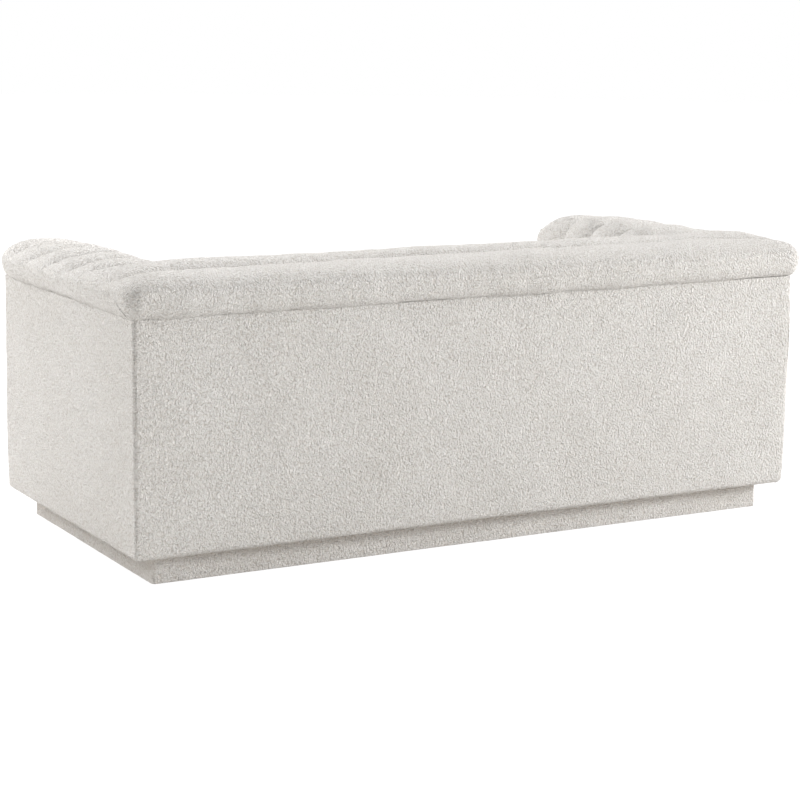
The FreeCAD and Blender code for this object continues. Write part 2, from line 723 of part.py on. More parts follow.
def arm_foam_prism():
    """The arm's foam: a slab on the top and a slab down the inner side, in one piece."""
    thickness = size.arm_padding * FOAM_SHARE
    inner = size.arm_inner - thickness
    top = size.pad_line + size.top_foam
    front = size.frame_front + FOAM_FRONT_GAP
    corners = [(size.arm_inner, size.deck_height), (inner, size.deck_height), (inner, top - thickness / 2),
               (inner + thickness / 2, top), (size.foam_x, top), (size.foam_x, size.pad_line),
               (size.arm_inner, size.pad_line)]
    points = [Vector(x, front, z) for x, z in corners]
    face = Part.Face(Part.makePolygon(points + points[:1]))
    return face.extrude(Vector(0, size.last_groove - front, 0))


def only_solid(shape):
    """The one solid of a trimmed shape."""
    solids = sorted(shape.Solids, key=lambda solid: solid.Volume)
    return solids[-1]


def make_arm_pads():
    middle = Vector(0, 0, 0)
    across = Vector(1, 0, 0)
    for name, maker in (("arm_foam", arm_foam_prism), ("arm_channels", arm_pad_shape)):
        shape = maker()
        node(feature(f"left_{name}", shape), f"left_{name}")
        node(feature(f"right_{name}", shape.mirror(middle, across)), f"right_{name}")


def end_fall(x):
    """The rolls' height at a place along the sofa: 1 up to the arm's crown, 0 at the outer end."""
    return rounding((abs(x) - size.crown_x) / (size.wide_x - size.crown_x))


def groove_place(x):
    """The depth of the groove between the two rolls at a place along the sofa."""
    reach = abs(x)
    if reach < size.arm_face:
        return between(size.roll_groove_middle, size.roll_groove_arm, (reach / size.arm_face) ** 2)
    share = (reach - size.arm_face) / (size.wide_x - size.arm_face)
    return between(size.roll_groove_arm, size.roll_groove_end, share ** 2)


def roll_levels(x, crown):
    """The foot, lower edge, and crown of a roll at a place along the sofa."""
    top = size.wide_z + (crown - size.lip_rise) * end_fall(x)
    beyond = max(0.0, (abs(x) - size.half_length) / size.lip_overhang)
    under = size.wide_z - size.lip_rise * math.sqrt(1 - beyond ** 2)
    foot = under - size.roll_foot * (1 - beyond)
    return foot, under, top


def second_roll_section(x):
    """The roll at the front of the back's top: upright front foot, round crown, groove behind."""
    foot, _, top = roll_levels(x, size.second_roll_crown)
    front = size.back_face_low + size.soft_gap
    rear = groove_place(x) - size.soft_gap / 2
    middle = (front + rear) / 2
    front_z = between(size.wide_z, top, 0.35)
    rear_z = top - size.roll_groove_depth * end_fall(x)
    low_front = Vector(x, front, foot)
    high_front = Vector(x, front, front_z)
    crown = Vector(x, middle, top)
    high_rear = Vector(x, rear, rear_z)
    low_rear = Vector(x, rear, foot)
    front_turn = Vector(x, between(front, middle, 0.25), between(front_z, top, 0.72))
    rear_turn = Vector(x, between(middle, rear, 0.62), between(top, rear_z, 0.3))
    return joined([(low_front, high_front), (high_front, front_turn, crown),
                   (crown, rear_turn, high_rear), (high_rear, low_rear), (low_rear, low_front)])


def back_roll_section(x):
    """The outermost roll: groove in front, round crown, widest at its seam, lip under it."""
    foot, under, top = roll_levels(x, size.back_roll_crown)
    front = groove_place(x) + size.soft_gap / 2
    pull = (1 - end_fall(x)) * size.lip_overhang
    rear = size.roll_back - pull
    lip_y = size.lip_back - pull
    crown_y = between(front, rear, 0.42)
    front_z = top - 0.6 * size.roll_groove_depth * end_fall(x)
    low_front = Vector(x, front, foot)
    high_front = Vector(x, front, front_z)
    crown = Vector(x, crown_y, top)
    wide = Vector(x, rear, size.wide_z)
    lip = Vector(x, lip_y, under)
    low_rear = Vector(x, lip_y, foot)
    front_turn = Vector(x, between(front, crown_y, 0.4), between(front_z, top, 0.72))
    rear_turn = Vector(x, between(crown_y, rear, 0.66), between(size.wide_z, top, 0.72))
    under_turn = Vector(x, between(lip_y, rear, 0.74), between(size.wide_z, under, 0.6))
    return joined([(low_front, high_front), (high_front, front_turn, crown), (crown, rear_turn, wide),
                   (wide, under_turn, lip), (lip, low_rear), (low_rear, low_front)])


def roll_shape(section):
    """A roll lofted from end to end through its sections."""
    reaches = [size.arm_face / 2, size.arm_face, size.crown_x]
    reaches += [between(size.crown_x, size.wide_x, share) for share in (0.3, 0.55, 0.75, 0.88, 0.975)]
    places = [-reach for reach in reversed(reaches)] + [0] + reaches
    roll = Part.makeLoft([section(x) for x in places], True, False)
    body_below = block((-size.half_length, size.half_length), (-size.half_depth, size.half_depth),
                       (0, size.pad_line))
    return only_solid(roll.cut(body_below).cut(top_foam_block()))


def top_foam_block():
    """The foam on top of the back's frame, under both rolls."""
    return block((-size.foam_x, size.foam_x),
                 (size.back_face_low + size.top_foam_inset, size.half_depth - size.top_foam_inset),
                 (size.pad_line, size.pad_line + size.top_foam))


def make_rolls():
    node(feature("back_top_foam", top_foam_block()), "back_top_foam")
    node(feature("second_roll", roll_shape(second_roll_section)), "second_roll")
    node(feature("back_roll", roll_shape(back_roll_section)), "back_roll")


# Outer panels
def make_panels():
    rise = "pad_line - plinth_height"

    def outer_bottom(test_x=None, test_y=None):
        def is_edge(edge):
            box = edge.BoundBox
            if box.ZMax - box.ZMin > EDGE_ERROR or abs(box.ZMin - size.plinth_height) > EDGE_ERROR:
                return False
            if test_x is not None:
                return abs(box.XMin - test_x) < EDGE_ERROR and abs(box.XMax - test_x) < EDGE_ERROR
            return abs(box.YMin - test_y) < EDGE_ERROR and abs(box.YMax - test_y) < EDGE_ERROR
        return is_edge

    for name, side in (("left", 1), ("right", -1)):
        outer = f"{side} * half_length"
        inner = f"{side} * board_x"
        corners = [(outer, "0 - half_depth"), (outer, "half_depth"), (inner, "board_back"),
                   (inner, "frame_front")]
        if side < 0:
            corners.reverse()
        node(outline_body(f"{name}_side_panel", "XY_Plane", corners, "plinth_height", rise,
                          "panel_edge_radius", outer_bottom(test_x=side * size.half_length)),
             f"{name}_side_panel")
        face = f"{side} * arm_face"
        corners = [(face, "0 - half_depth"), (outer, "0 - half_depth"), (inner, "frame_front"),
                   (face, "frame_front")]
        if side < 0:
            corners.reverse()
        node(outline_body(f"{name}_arm_front_panel", "XY_Plane", corners, "plinth_height", rise,
                          "panel_edge_radius", outer_bottom(test_y=-size.half_depth)),
             f"{name}_arm_front_panel")
    corners = [("0 - board_x", "board_back"), ("board_x", "board_back"), ("half_length", "half_depth"),
               ("0 - half_length", "half_depth")]
    node(outline_body("back_panel", "XY_Plane", corners, "plinth_height", rise, "panel_edge_radius",
                      outer_bottom(test_y=size.half_depth)), "back_panel")
    corners = [("0 - arm_face", "0 - half_depth"), ("arm_face", "0 - half_depth"),
               ("arm_face", "frame_front"), ("0 - arm_face", "frame_front")]
    node(outline_body("front_rail_panel", "XY_Plane", corners, "plinth_height",
                      "deck_height - plinth_height", "panel_edge_radius",
                      outer_bottom(test_y=-size.half_depth)), "front_rail_panel")


# Seat cushions
def cushion_section(x, front, rear, low, high, crown, corner):
    """A cushion's outline at a place along it: flat below, round edges, domed top."""
    middle = (front + rear) / 2
    slant = corner * (1 - math.sqrt(0.5))
    bulge = corner * CUSHION_SWELL
    return joined([
        (Vector(x, front + corner, low), Vector(x, rear - corner, low)),
        (Vector(x, rear - corner, low), Vector(x, rear - slant, low + slant), Vector(x, rear, low + corner)),
        (Vector(x, rear, low + corner), Vector(x, rear + bulge, (low + high) / 2),
         Vector(x, rear, high - corner)),
        (Vector(x, rear, high - corner), Vector(x, rear - slant, high - slant),
         Vector(x, rear - corner, high)),
        (Vector(x, rear - corner, high), Vector(x, middle, high + crown), Vector(x, front + corner, high)),
        (Vector(x, front + corner, high), Vector(x, front + slant, high - slant),
         Vector(x, front, high - corner)),
        (Vector(x, front, high - corner), Vector(x, front - bulge, (low + high) / 2),
         Vector(x, front, low + corner)),
        (Vector(x, front, low + corner), Vector(x, front + slant, low + slant),
         Vector(x, front + corner, low)),
    ])


def cushion_solid(inner, outer, inset):
    """A cushion between two places across the sofa, or its core at an inset from the cover."""
    swell = size.cushion_corner * CUSHION_SWELL
    front = size.cushion_front + swell + inset
    rear = size.cushion_rear - swell - inset
    low = size.cushion_low + inset
    high = size.cushion_low + size.cushion_thickness - inset
    corner = size.cushion_corner - inset * 0.5
    middle = (inner + outer) / 2
    half = (outer - inner) / 2 - inset
    sections = []
    for share in (-1, -0.93, -0.8, -0.5, 0, 0.5, 0.8, 0.93, 1):
        draw = size.cushion_draw * share ** 8
        crown = size.cushion_crown * (1 - share ** 4)
        sections.append(cushion_section(middle + share * half, front + draw, rear - draw, low + draw,
                                        high - draw, crown + 2, corner))
    solid = Part.makeLoft(sections, True, False)
    floor = block((inner - TRIM_REACH, outer + TRIM_REACH), (front - TRIM_REACH, rear + TRIM_REACH), (0, low))
    return only_solid(solid.cut(floor))


def zip_block(inner, outer, standing=0):
    """The zip in the rear side of a cushion's cover, or the slot for it, open to the rear."""
    middle = (inner + outer) / 2
    half = size.zip_length / 2
    z = size.cushion_low + size.cushion_thickness / 2
    rear = size.cushion_rear
    return block((middle - half, middle + half), (rear - size.zip_depth, rear + standing),
                 (z - size.zip_width / 2, z + size.zip_width / 2))


def make_cushions():
    inner = size.cushion_gap / 2
    outer = size.arm_face - size.cushion_gap
    core = cushion_solid(inner, outer, size.cushion_wrap)
    zipper = zip_block(inner, outer)
    cover = cushion_solid(inner, outer, 0)
    cover = only_solid(cover.cut(core).cut(zip_block(inner, outer, size.cushion_gap)))
    middle = Vector(0, 0, 0)
    across = Vector(1, 0, 0)
    for part_name, shape in (("cover", cover), ("core", core), ("zip", zipper)):
        label = f"left_cushion_{part_name}"
        node(feature(label, shape), label)
        label = f"right_cushion_{part_name}"
        node(feature(label, shape.mirror(middle, across)), label)


make_plinth()
make_bolts()
make_seat_frame()
make_springs()
make_arm_boxes()
make_back_frame()
make_back_padding()
make_arm_pads()
make_rolls()
make_panels()
make_cushions()
document.recompute()

for item in document.Objects:
    if "Invalid" in item.State or "Error" in item.State:
        raise RuntimeError(f"{item.Name} did not build")
for item in nodes:
    if item.Shape.isNull() or not item.Shape.isValid():
        raise RuntimeError(f"{item.Label} is not a valid shape")

os.makedirs("parts", exist_ok=True)
for item in nodes:
    item.Shape.exportStep(os.path.join("parts", item.Label + ".step"))
print(len(nodes), "pieces written")
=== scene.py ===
"""The looks of the low tuxedo sofa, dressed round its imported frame.

Metres throughout.  The sofa faces -Y, +X is the sitter's left, +Z is up and the floor is z = 0.
"""

import json
import math

import bmesh
import bpy
import numpy as np
from mathutils import Matrix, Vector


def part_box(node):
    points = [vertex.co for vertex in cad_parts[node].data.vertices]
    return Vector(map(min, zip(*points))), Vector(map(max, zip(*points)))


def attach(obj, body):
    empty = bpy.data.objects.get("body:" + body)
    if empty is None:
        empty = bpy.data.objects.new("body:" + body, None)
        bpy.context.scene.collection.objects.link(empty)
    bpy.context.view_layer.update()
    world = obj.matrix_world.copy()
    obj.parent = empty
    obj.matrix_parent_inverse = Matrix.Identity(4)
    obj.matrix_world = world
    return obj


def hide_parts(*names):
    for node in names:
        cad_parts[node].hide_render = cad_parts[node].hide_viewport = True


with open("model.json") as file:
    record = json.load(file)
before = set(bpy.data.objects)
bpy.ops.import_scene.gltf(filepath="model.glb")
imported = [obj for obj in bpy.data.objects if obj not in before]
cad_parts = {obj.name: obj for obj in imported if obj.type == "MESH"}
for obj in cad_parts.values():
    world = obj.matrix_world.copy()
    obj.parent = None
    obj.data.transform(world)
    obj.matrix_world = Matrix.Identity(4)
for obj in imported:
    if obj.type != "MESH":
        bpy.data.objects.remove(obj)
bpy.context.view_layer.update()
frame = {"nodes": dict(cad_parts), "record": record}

# Main lines of the sofa, read from the frame's own pieces
side_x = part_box("left_side_panel")[1].x
back_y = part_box("back_panel")[1].y
base_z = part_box("back_panel")[0].z
pad_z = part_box("back_panel")[1].z
deck_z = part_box("deck_cloth")[1].z
board_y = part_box("left_arm_front_board")[0].y
arm_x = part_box("left_arm_front_panel")[0].x
arm_board_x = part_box("left_arm_inner_board")[0].x
wide_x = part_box("left_arm_channels")[1].x
nose_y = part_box("left_arm_channels")[0].y
roll_front_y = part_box("second_roll")[0].y
roll_rear_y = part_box("back_roll")[1].y

# Forms of the pads: the widest line, the crowns, the grooves and the hanging lip
wide_z = pad_z + 0.042
crown_x = side_x - 0.115
lip_x = side_x - 0.004
arm_crown = pad_z + 0.093
second_crown = pad_z + 0.098
back_crown = pad_z + 0.094
channel_pitch = 0.120
last_groove = roll_front_y - 0.0004
grooves = last_groove - channel_pitch * np.arange(4, -1, -1)
channel_depth = 0.022
roll_groove_depth = 0.018
seat_groove_depth = 0.048
lip_hang = 0.0015
pressed = 0.0015
shoulder_power = 2.2
nose_power = 2.4
left_tip_power = 3.0
right_tip_power = 3.9
nose_length = 0.050
nose_start = nose_y + nose_length
panel_gap = 0.004

# Forms of the flat faces and of the lights
corner_radius = 0.009
hem_edge = 0.015
face_thickness = 0.0035
world_light = 0.84


# Surfaces

def soft_step(share):
    """Rises smoothly from 0 to 1 with the share s: 3 s^2 - 2 s^3."""
    share = np.clip(share, 0, 1)
    return share * share * (3 - 2 * share)


def rounded(share, power):
    """The height of a rounded end: (1 - s^p)^(1/p), 1 where it starts and 0 at its tip."""
    return (1 - np.clip(share, 0, 1) ** power) ** (1 / power)


def quarter(count, power, last=1.0):
    """Sine and cosine of a quarter turn, each to the power 2/p, which trace a superellipse of power p."""
    turn = np.linspace(0, last * np.pi / 2, count)
    return np.sin(turn) ** (2 / power), np.abs(np.cos(turn)) ** (2 / power)


def stuffing(points, length, amount, seed):
    """Uneven filling: a sum of plane waves of about the given length in seeded directions."""
    maker = np.random.default_rng(seed)
    total = np.zeros(points.shape[:-1])
    waves = 12
    for _ in range(waves):
        direction = maker.normal(size=3)
        direction /= np.linalg.norm(direction)
        turn = 2 * np.pi / (length * maker.uniform(0.7, 1.6))
        total += np.sin(points @ direction * turn + maker.uniform(0, 2 * np.pi))
    return amount * total * math.sqrt(2 / waves)


def outward(rings):
    """Unit normals of a grid of rings: the cross product of its two directions, turned outwards."""
    along = np.gradient(rings, axis=0)
    around = np.roll(rings, -1, axis=1) - np.roll(rings, 1, axis=1)
    normal = np.cross(along, around)
    normal /= np.maximum(np.linalg.norm(normal, axis=2, keepdims=True), 1e-12)
    away = rings - rings.mean(axis=1, keepdims=True)
    return normal * np.sign((normal * away).sum())


def numbered(rows, columns, first=0):
    """The point numbers of a grid, row by row."""
    return first + np.arange(rows * columns).reshape(rows, columns)


def quads_between(index):
    """Quads between the neighbours in a grid of point numbers."""
    quads = np.stack([index[:-1, :-1], index[1:, :-1], index[1:, 1:], index[:-1, 1:]], axis=-1)
    return quads.reshape(-1, 4).tolist()


def closed_form(rings, endless=False):
    """Points and faces of a closed form through rings: its ends are fans, or are joined if it is endless."""
    rows, columns, _ = rings.shape
    points = rings.reshape(-1, 3)
    index = numbered(rows, columns)
    index = np.concatenate([index, index[:, :1]], axis=1)
    if endless:
        faces = quads_between(np.concatenate([index, index[:1]], axis=0))
    else:
        points = np.concatenate([points, rings[:1].mean(1), rings[-1:].mean(1)])
        near, far = index[0, :-1], index[-1, :-1]
        first_fan = np.stack([near, np.roll(near, -1), np.full(columns, rows * columns)], axis=1)
        last_fan = np.stack([np.roll(far, -1), far, np.full(columns, rows * columns + 1)], axis=1)
        faces = quads_between(index) + first_fan.tolist() + last_fan.tolist()
    return points, faces_outward(points, faces)


def faces_outward(points, faces):
    """The faces, all turned round if the volume that they enclose comes out negative."""
    volume = 0.0
    for corners in (3, 4):
        chosen = np.array([face for face in faces if len(face) == corners])
        for step in range(1, corners - 1) if len(chosen) else ():
            a, b, c = (points[chosen[:, k]] for k in (0, step, step + 1))
            volume += np.einsum("ij,ij->", a, np.cross(b, c))
    return faces if volume > 0 else [face[::-1] for face in faces]


def piece(name, points, faces, material, replaced, body="sofa", sharp=45):
    """A finished piece that stands for frame nodes, with its place in its mesh."""
    mesh = bpy.data.meshes.new(name)
    mesh.from_pydata(points, [], faces)
    mesh.shade_smooth()
    mesh.set_sharp_from_angle(angle=math.radians(sharp))
    mesh.materials.append(material)
    made = bpy.data.objects.new(name, mesh)
    bpy.context.scene.collection.objects.link(made)
    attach(made, body)
    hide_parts(*replaced)
    return made


# Materials

class Finish:
    """A material's nodes, added and joined with one call each."""

    def __init__(self, name, roughness, **values):
        self.material = bpy.data.materials.new(name)
        self.material.use_nodes = True
        self.tree = self.material.node_tree
        self.shader = self.tree.nodes["Principled BSDF"]
        self.shader.inputs["Roughness"].default_value = roughness
        for socket, value in values.items():
            self.shader.inputs[socket.replace("_", " ")].default_value = value
        self.place = self.add("ShaderNodeTexCoord").outputs["Object"]

    def add(self, kind, **settings):
        """A new node with its settings."""
        node = self.tree.nodes.new(kind)
        for setting, value in settings.items():
            setattr(node, setting, value)
        return node

    def feed(self, socket, value):
        """Joins an output to a socket, or writes a plain value there."""
        if isinstance(value, bpy.types.NodeSocket):
            self.tree.links.new(value, socket)
        else:
            socket.default_value = value

    def stretched(self, scale):
        """The place, scaled along each axis."""
        node = self.add("ShaderNodeMapping")
        self.feed(node.inputs["Vector"], self.place)
        node.inputs["Scale"].default_value = scale
        return node.outputs["Vector"]

    def noise(self, scale, detail=2.0, place=None, colour=False):
        """Soft noise, as a value or as a colour."""
        node = self.add("ShaderNodeTexNoise")
        self.feed(node.inputs["Vector"], place or self.place)
        node.inputs["Scale"].default_value = scale
        node.inputs["Detail"].default_value = detail
        return node.outputs["Color" if colour else "Fac"]

    def cells(self, scale, place=None, feature="F1"):
        """The distance to the nearest of scattered points."""
        node = self.add("ShaderNodeTexVoronoi", feature=feature)
        self.feed(node.inputs["Vector"], place or self.place)
        node.inputs["Scale"].default_value = scale
        return node.outputs["Distance"]

    def bands(self, scale, axis, place=None, distortion=0.0):
        """Bands across an axis."""
        node = self.add("ShaderNodeTexWave", bands_direction=axis)
        self.feed(node.inputs["Vector"], place or self.place)
        node.inputs["Scale"].default_value = scale
        node.inputs["Distortion"].default_value = distortion
        return node.outputs["Fac"]

    def sums(self, operation, first, second):
        """Two values put together by an arithmetic operation."""
        node = self.add("ShaderNodeMath", operation=operation)
        self.feed(node.inputs[0], first)
        self.feed(node.inputs[1], second)
        return node.outputs[0]

    def moved(self, place, shift, amount):
        """The place, shifted by a noise colour that is centred on zero."""
        centred = self.add("ShaderNodeVectorMath", operation="SUBTRACT")
        self.feed(centred.inputs[0], shift)
        centred.inputs[1].default_value = (0.5, 0.5, 0.5)
        scaled = self.add("ShaderNodeVectorMath", operation="SCALE")
        self.feed(scaled.inputs[0], centred.outputs[0])
        scaled.inputs["Scale"].default_value = amount
        total = self.add("ShaderNodeVectorMath", operation="ADD")
        self.feed(total.inputs[0], place)
        self.feed(total.inputs[1], scaled.outputs[0])
        return total.outputs[0]

    def ramp(self, value, stops):
        """A colour read off a row of stops, each a place and a colour."""
        node = self.add("ShaderNodeValToRGB")
        self.feed(node.inputs["Fac"], value)
        elements = node.color_ramp.elements
        while len(elements) < len(stops):
            elements.new(0.5)
        for element, (place, colour) in zip(elements, stops):
            element.position = place
            element.color = (*colour, 1)
        return node.outputs["Color"]

    def mixed(self, share, first, second, blend="MIX"):
        """Two colours mixed by a share."""
        node = self.add("ShaderNodeMix", data_type="RGBA", blend_type=blend)
        self.feed(node.inputs[0], share)
        self.feed(node.inputs[6], first)
        self.feed(node.inputs[7], second)
        return node.outputs[2]

    def finish(self, colour, height, depth, strength, roughness=None):
        """The material, with its colour, its relief and, if given, its uneven roughness."""
        self.feed(self.shader.inputs["Base Color"], colour)
        if roughness is not None:
            self.feed(self.shader.inputs["Roughness"], roughness)
        bump = self.add("ShaderNodeBump")
        bump.inputs["Strength"].default_value = strength
        bump.inputs["Distance"].default_value = depth
        self.feed(bump.inputs["Height"], height)
        self.feed(self.shader.inputs["Normal"], bump.outputs["Normal"])
        return self.material


def boucle_finish():
    """Looped boucle: round loops of pale yarn about 5 mm across; the gaps a little darker and warmer as
    painted shade.
    """
    coat = Finish("boucle", 0.92, Sheen_Weight=0.10, Sheen_Roughness=0.6, Specular_IOR_Level=0.12)
    curled = coat.moved(coat.place, coat.noise(120.0, 2.0, colour=True), 0.006)
    loops = coat.cells(230.0, curled, "SMOOTH_F1")
    knots = coat.cells(390.0, coat.moved(coat.place, coat.noise(80.0, 2.0, colour=True), 0.007))
    yarn = coat.noise(700.0, 2.0)
    gaps = coat.sums("ADD", coat.sums("MULTIPLY", loops, 0.80), coat.sums("MULTIPLY", knots, 0.40))
    height = coat.sums("ADD", coat.sums("SUBTRACT", 1.0, gaps), coat.sums("MULTIPLY", yarn, 0.12))
    # Painted shade: the ramp makes the low gaps between the loops darker and warmer than the loop tops.
    tone = coat.ramp(height, [(0.25, (0.590, 0.555, 0.520)), (0.55, (0.735, 0.717, 0.695)),
                              (0.85, (0.830, 0.818, 0.802))])
    patches = coat.ramp(coat.noise(5.0, 2.0), [(0.35, (0.975, 0.972, 0.966)), (0.65, (1.0, 1.0, 1.0))])
    tone = coat.mixed(1.0, tone, patches, "MULTIPLY")
    return coat.finish(tone, height, depth=0.0095, strength=1.0)


def wood_finish(name, pale, dark, along, ply=False):
    """Raw timber: long grain bands along an axis, with pores; plywood shows even darker layers."""
    wood = Finish(name, 0.62)
    scale = {"X": (0.6, 14, 14), "Y": (14, 0.6, 14), "Z": (14, 14, 0.6)}[along]
    place = wood.stretched(scale)
    grain = wood.noise(2.2, 6.0, wood.moved(place, wood.noise(1.2, 2.0, place, True), 0.9))
    pores = wood.noise(24.0, 4.0, place)
    tone = wood.ramp(grain, [(0.32, dark), (0.52, pale), (0.72, tuple(min(1, c * 1.12) for c in pale))])
    if ply:
        layers = wood.bands(70.0, "Z", distortion=0.6)
        tone = wood.mixed(wood.sums("MULTIPLY", layers, 0.22), tone, (*[c * 0.62 for c in dark], 1))
    tone = wood.mixed(wood.sums("MULTIPLY", pores, 0.30), tone, (*[c * 0.7 for c in dark], 1))
    return wood.finish(tone, wood.sums("ADD", grain, wood.sums("MULTIPLY", pores, 0.5)), 0.0006, 0.5)


def fibreboard_finish():
    """Pressed fibreboard: matted brown fibres."""
    board = Finish("fibreboard", 0.85)
    fibres = board.noise(260.0, 6.0, board.stretched((1, 0.4, 0.4)))
    tone = board.ramp(fibres, [(0.35, (0.20, 0.125, 0.075)), (0.65, (0.36, 0.25, 0.155))])
    return board.finish(tone, fibres, 0.0004, 0.6)


def steel_finish(name, pale, dark, roughness):
    """Plated or oiled steel wire: fine drawn streaks and a little uneven sheen."""
    steel = Finish(name, roughness, Metallic=1.0)
    streaks = steel.noise(40.0, 4.0, steel.stretched((6, 6, 40)))
    tone = steel.ramp(streaks, [(0.3, dark), (0.7, pale)])
    rough = steel.ramp(streaks, [(0.3, (roughness - 0.08,) * 3), (0.7, (roughness + 0.12,) * 3)])
    return steel.finish(tone, streaks, 0.0002, 0.4, rough)


def plastic_finish(name, colour):
    """Moulded plastic: faintly mottled colour and a fine matt skin."""
    plastic = Finish(name, 0.5)
    skin = plastic.noise(900.0, 2.0)
    tone = plastic.ramp(plastic.noise(60.0, 3.0), [(0.3, tuple(c * 0.9 for c in colour)), (0.7, colour)])
    rough = plastic.ramp(skin, [(0.3, (0.42,) * 3), (0.7, (0.6,) * 3)])
    return plastic.finish(tone, skin, 0.00015, 0.5, rough)


def weave_finish(name, warp, weft, pitch, across=("X", "Y"), depth=0.0005):
    """Plain weave: two crossing sets of threads at an even pitch, each over and under the other."""
    cloth = Finish(name, 0.9, Sheen_Weight=0.1)
    place = cloth.moved(cloth.place, cloth.noise(25.0, 3.0, colour=True), pitch * 0.8)
    scale = 0.31416 / pitch
    first = cloth.bands(scale, across[0], place)
    second = cloth.bands(scale, across[1], place)
    over = cloth.sums("GREATER_THAN", first, second)
    tone = cloth.mixed(over, warp, weft)
    fuzz = cloth.ramp(cloth.noise(700.0, 2.0), [(0.3, (0.86,) * 3), (0.7, (1.0,) * 3)])
    tone = cloth.mixed(1.0, tone, fuzz, "MULTIPLY")
    return cloth.finish(tone, cloth.sums("MAXIMUM", first, second), depth, 0.7)


def felted_finish(name, pale, dark, scale, depth):
    """Matted fibres or cut foam: fine round cells over a softer mottle."""
    felt = Finish(name, 0.95)
    cells = felt.cells(scale)
    mottle = felt.noise(scale * 0.12, 3.0)
    shade = felt.sums("ADD", cells, felt.sums("MULTIPLY", mottle, 0.4))
    tone = felt.ramp(shade, [(0.25, pale), (0.85, dark)])
    return felt.finish(tone, felt.sums("SUBTRACT", 1.0, cells), depth, 0.8)


boucle = boucle_finish()
softwood = wood_finish("softwood", (0.64, 0.44, 0.24), (0.45, 0.27, 0.125), "X")
plywood = wood_finish("plywood", (0.62, 0.45, 0.27), (0.42, 0.28, 0.15), "Y", ply=True)
fibreboard = fibreboard_finish()
zinc_steel = steel_finish("zinc_steel", (0.62, 0.63, 0.64), (0.42, 0.43, 0.45), 0.35)
spring_steel = steel_finish("spring_steel", (0.22, 0.22, 0.23), (0.09, 0.09, 0.10), 0.42)
clip_plastic = plastic_finish("clip_plastic", (0.62, 0.62, 0.60))
glide_plastic = plastic_finish("glide_plastic", (0.035, 0.035, 0.035))
dust_weave = weave_finish("black_cloth", (0.022, 0.022, 0.023, 1), (0.035, 0.035, 0.036, 1), 0.0018)
deck_weave = weave_finish("deck_cloth", (0.60, 0.56, 0.49, 1), (0.52, 0.48, 0.41, 1), 0.0016)
web_weave = weave_finish("webbing", (0.030, 0.028, 0.026, 1), (0.085, 0.080, 0.072, 1), 0.0022, ("X", "Z"))
zip_weave = weave_finish("zip", (0.60, 0.56, 0.50, 1), (0.50, 0.47, 0.42, 1), 0.0012, ("X", "Z"))
felt_fill = felted_finish("felt", (0.30, 0.29, 0.27), (0.13, 0.125, 0.12), 420.0, 0.0012)
foam_fill = felted_finish("foam", (0.80, 0.73, 0.50), (0.60, 0.53, 0.33), 650.0, 0.0006)

FINISHES = {"boucle": boucle, "plywood": plywood, "softwood": softwood, "fibreboard": fibreboard,
            "zinc_steel": zinc_steel, "spring_steel": spring_steel, "clip_plastic": clip_plastic,
            "glide_plastic": glide_plastic, "black_cloth": dust_weave, "deck_cloth": deck_weave,
            "felt": felt_fill, "webbing": web_weave, "foam": foam_fill, "zip": zip_weave}


def finish_frame_nodes():
    """Each node of the frame takes the finish of its slot in the record."""
    for part in frame["record"]["subparts"]:
        node = frame["nodes"][part["node"]]
        node.data.materials.clear()
        node.data.materials.append(FINISHES[part["material_slot"]])


# Arm pads

def arm_stations():
    """Depths of the arm pad's rings, from the tip of the nose to the last groove.

    They crowd towards each groove and the tip as a sine does.  Returned with them: the share of the
    groove's depth at each ring, the cube of a cosine, and whether the ring belongs to the nose.
    """
    first = math.asin((nose_start - board_y) / nose_length)
    turn = np.linspace(0.995 * np.pi / 2, first, 26)
    nose = nose_start - nose_length * np.sin(turn)
    width = grooves[0] - board_y
    turn = np.linspace(0, np.pi / 2, 26)
    front = board_y + width * np.sin(turn)
    depths = [nose, front]
    sunk = [np.zeros(len(nose)), np.sin(turn) ** 3]
    for start in grooves[:-1]:
        turn = np.linspace(0, np.pi, 36)[1:]
        depths.append(start + channel_pitch * (1 - np.cos(turn)) / 2)
        sunk.append(np.abs(np.cos(turn)) ** 3)
    depths = np.concatenate(depths)
    return depths, np.concatenate(sunk), np.arange(len(depths)) < len(nose)


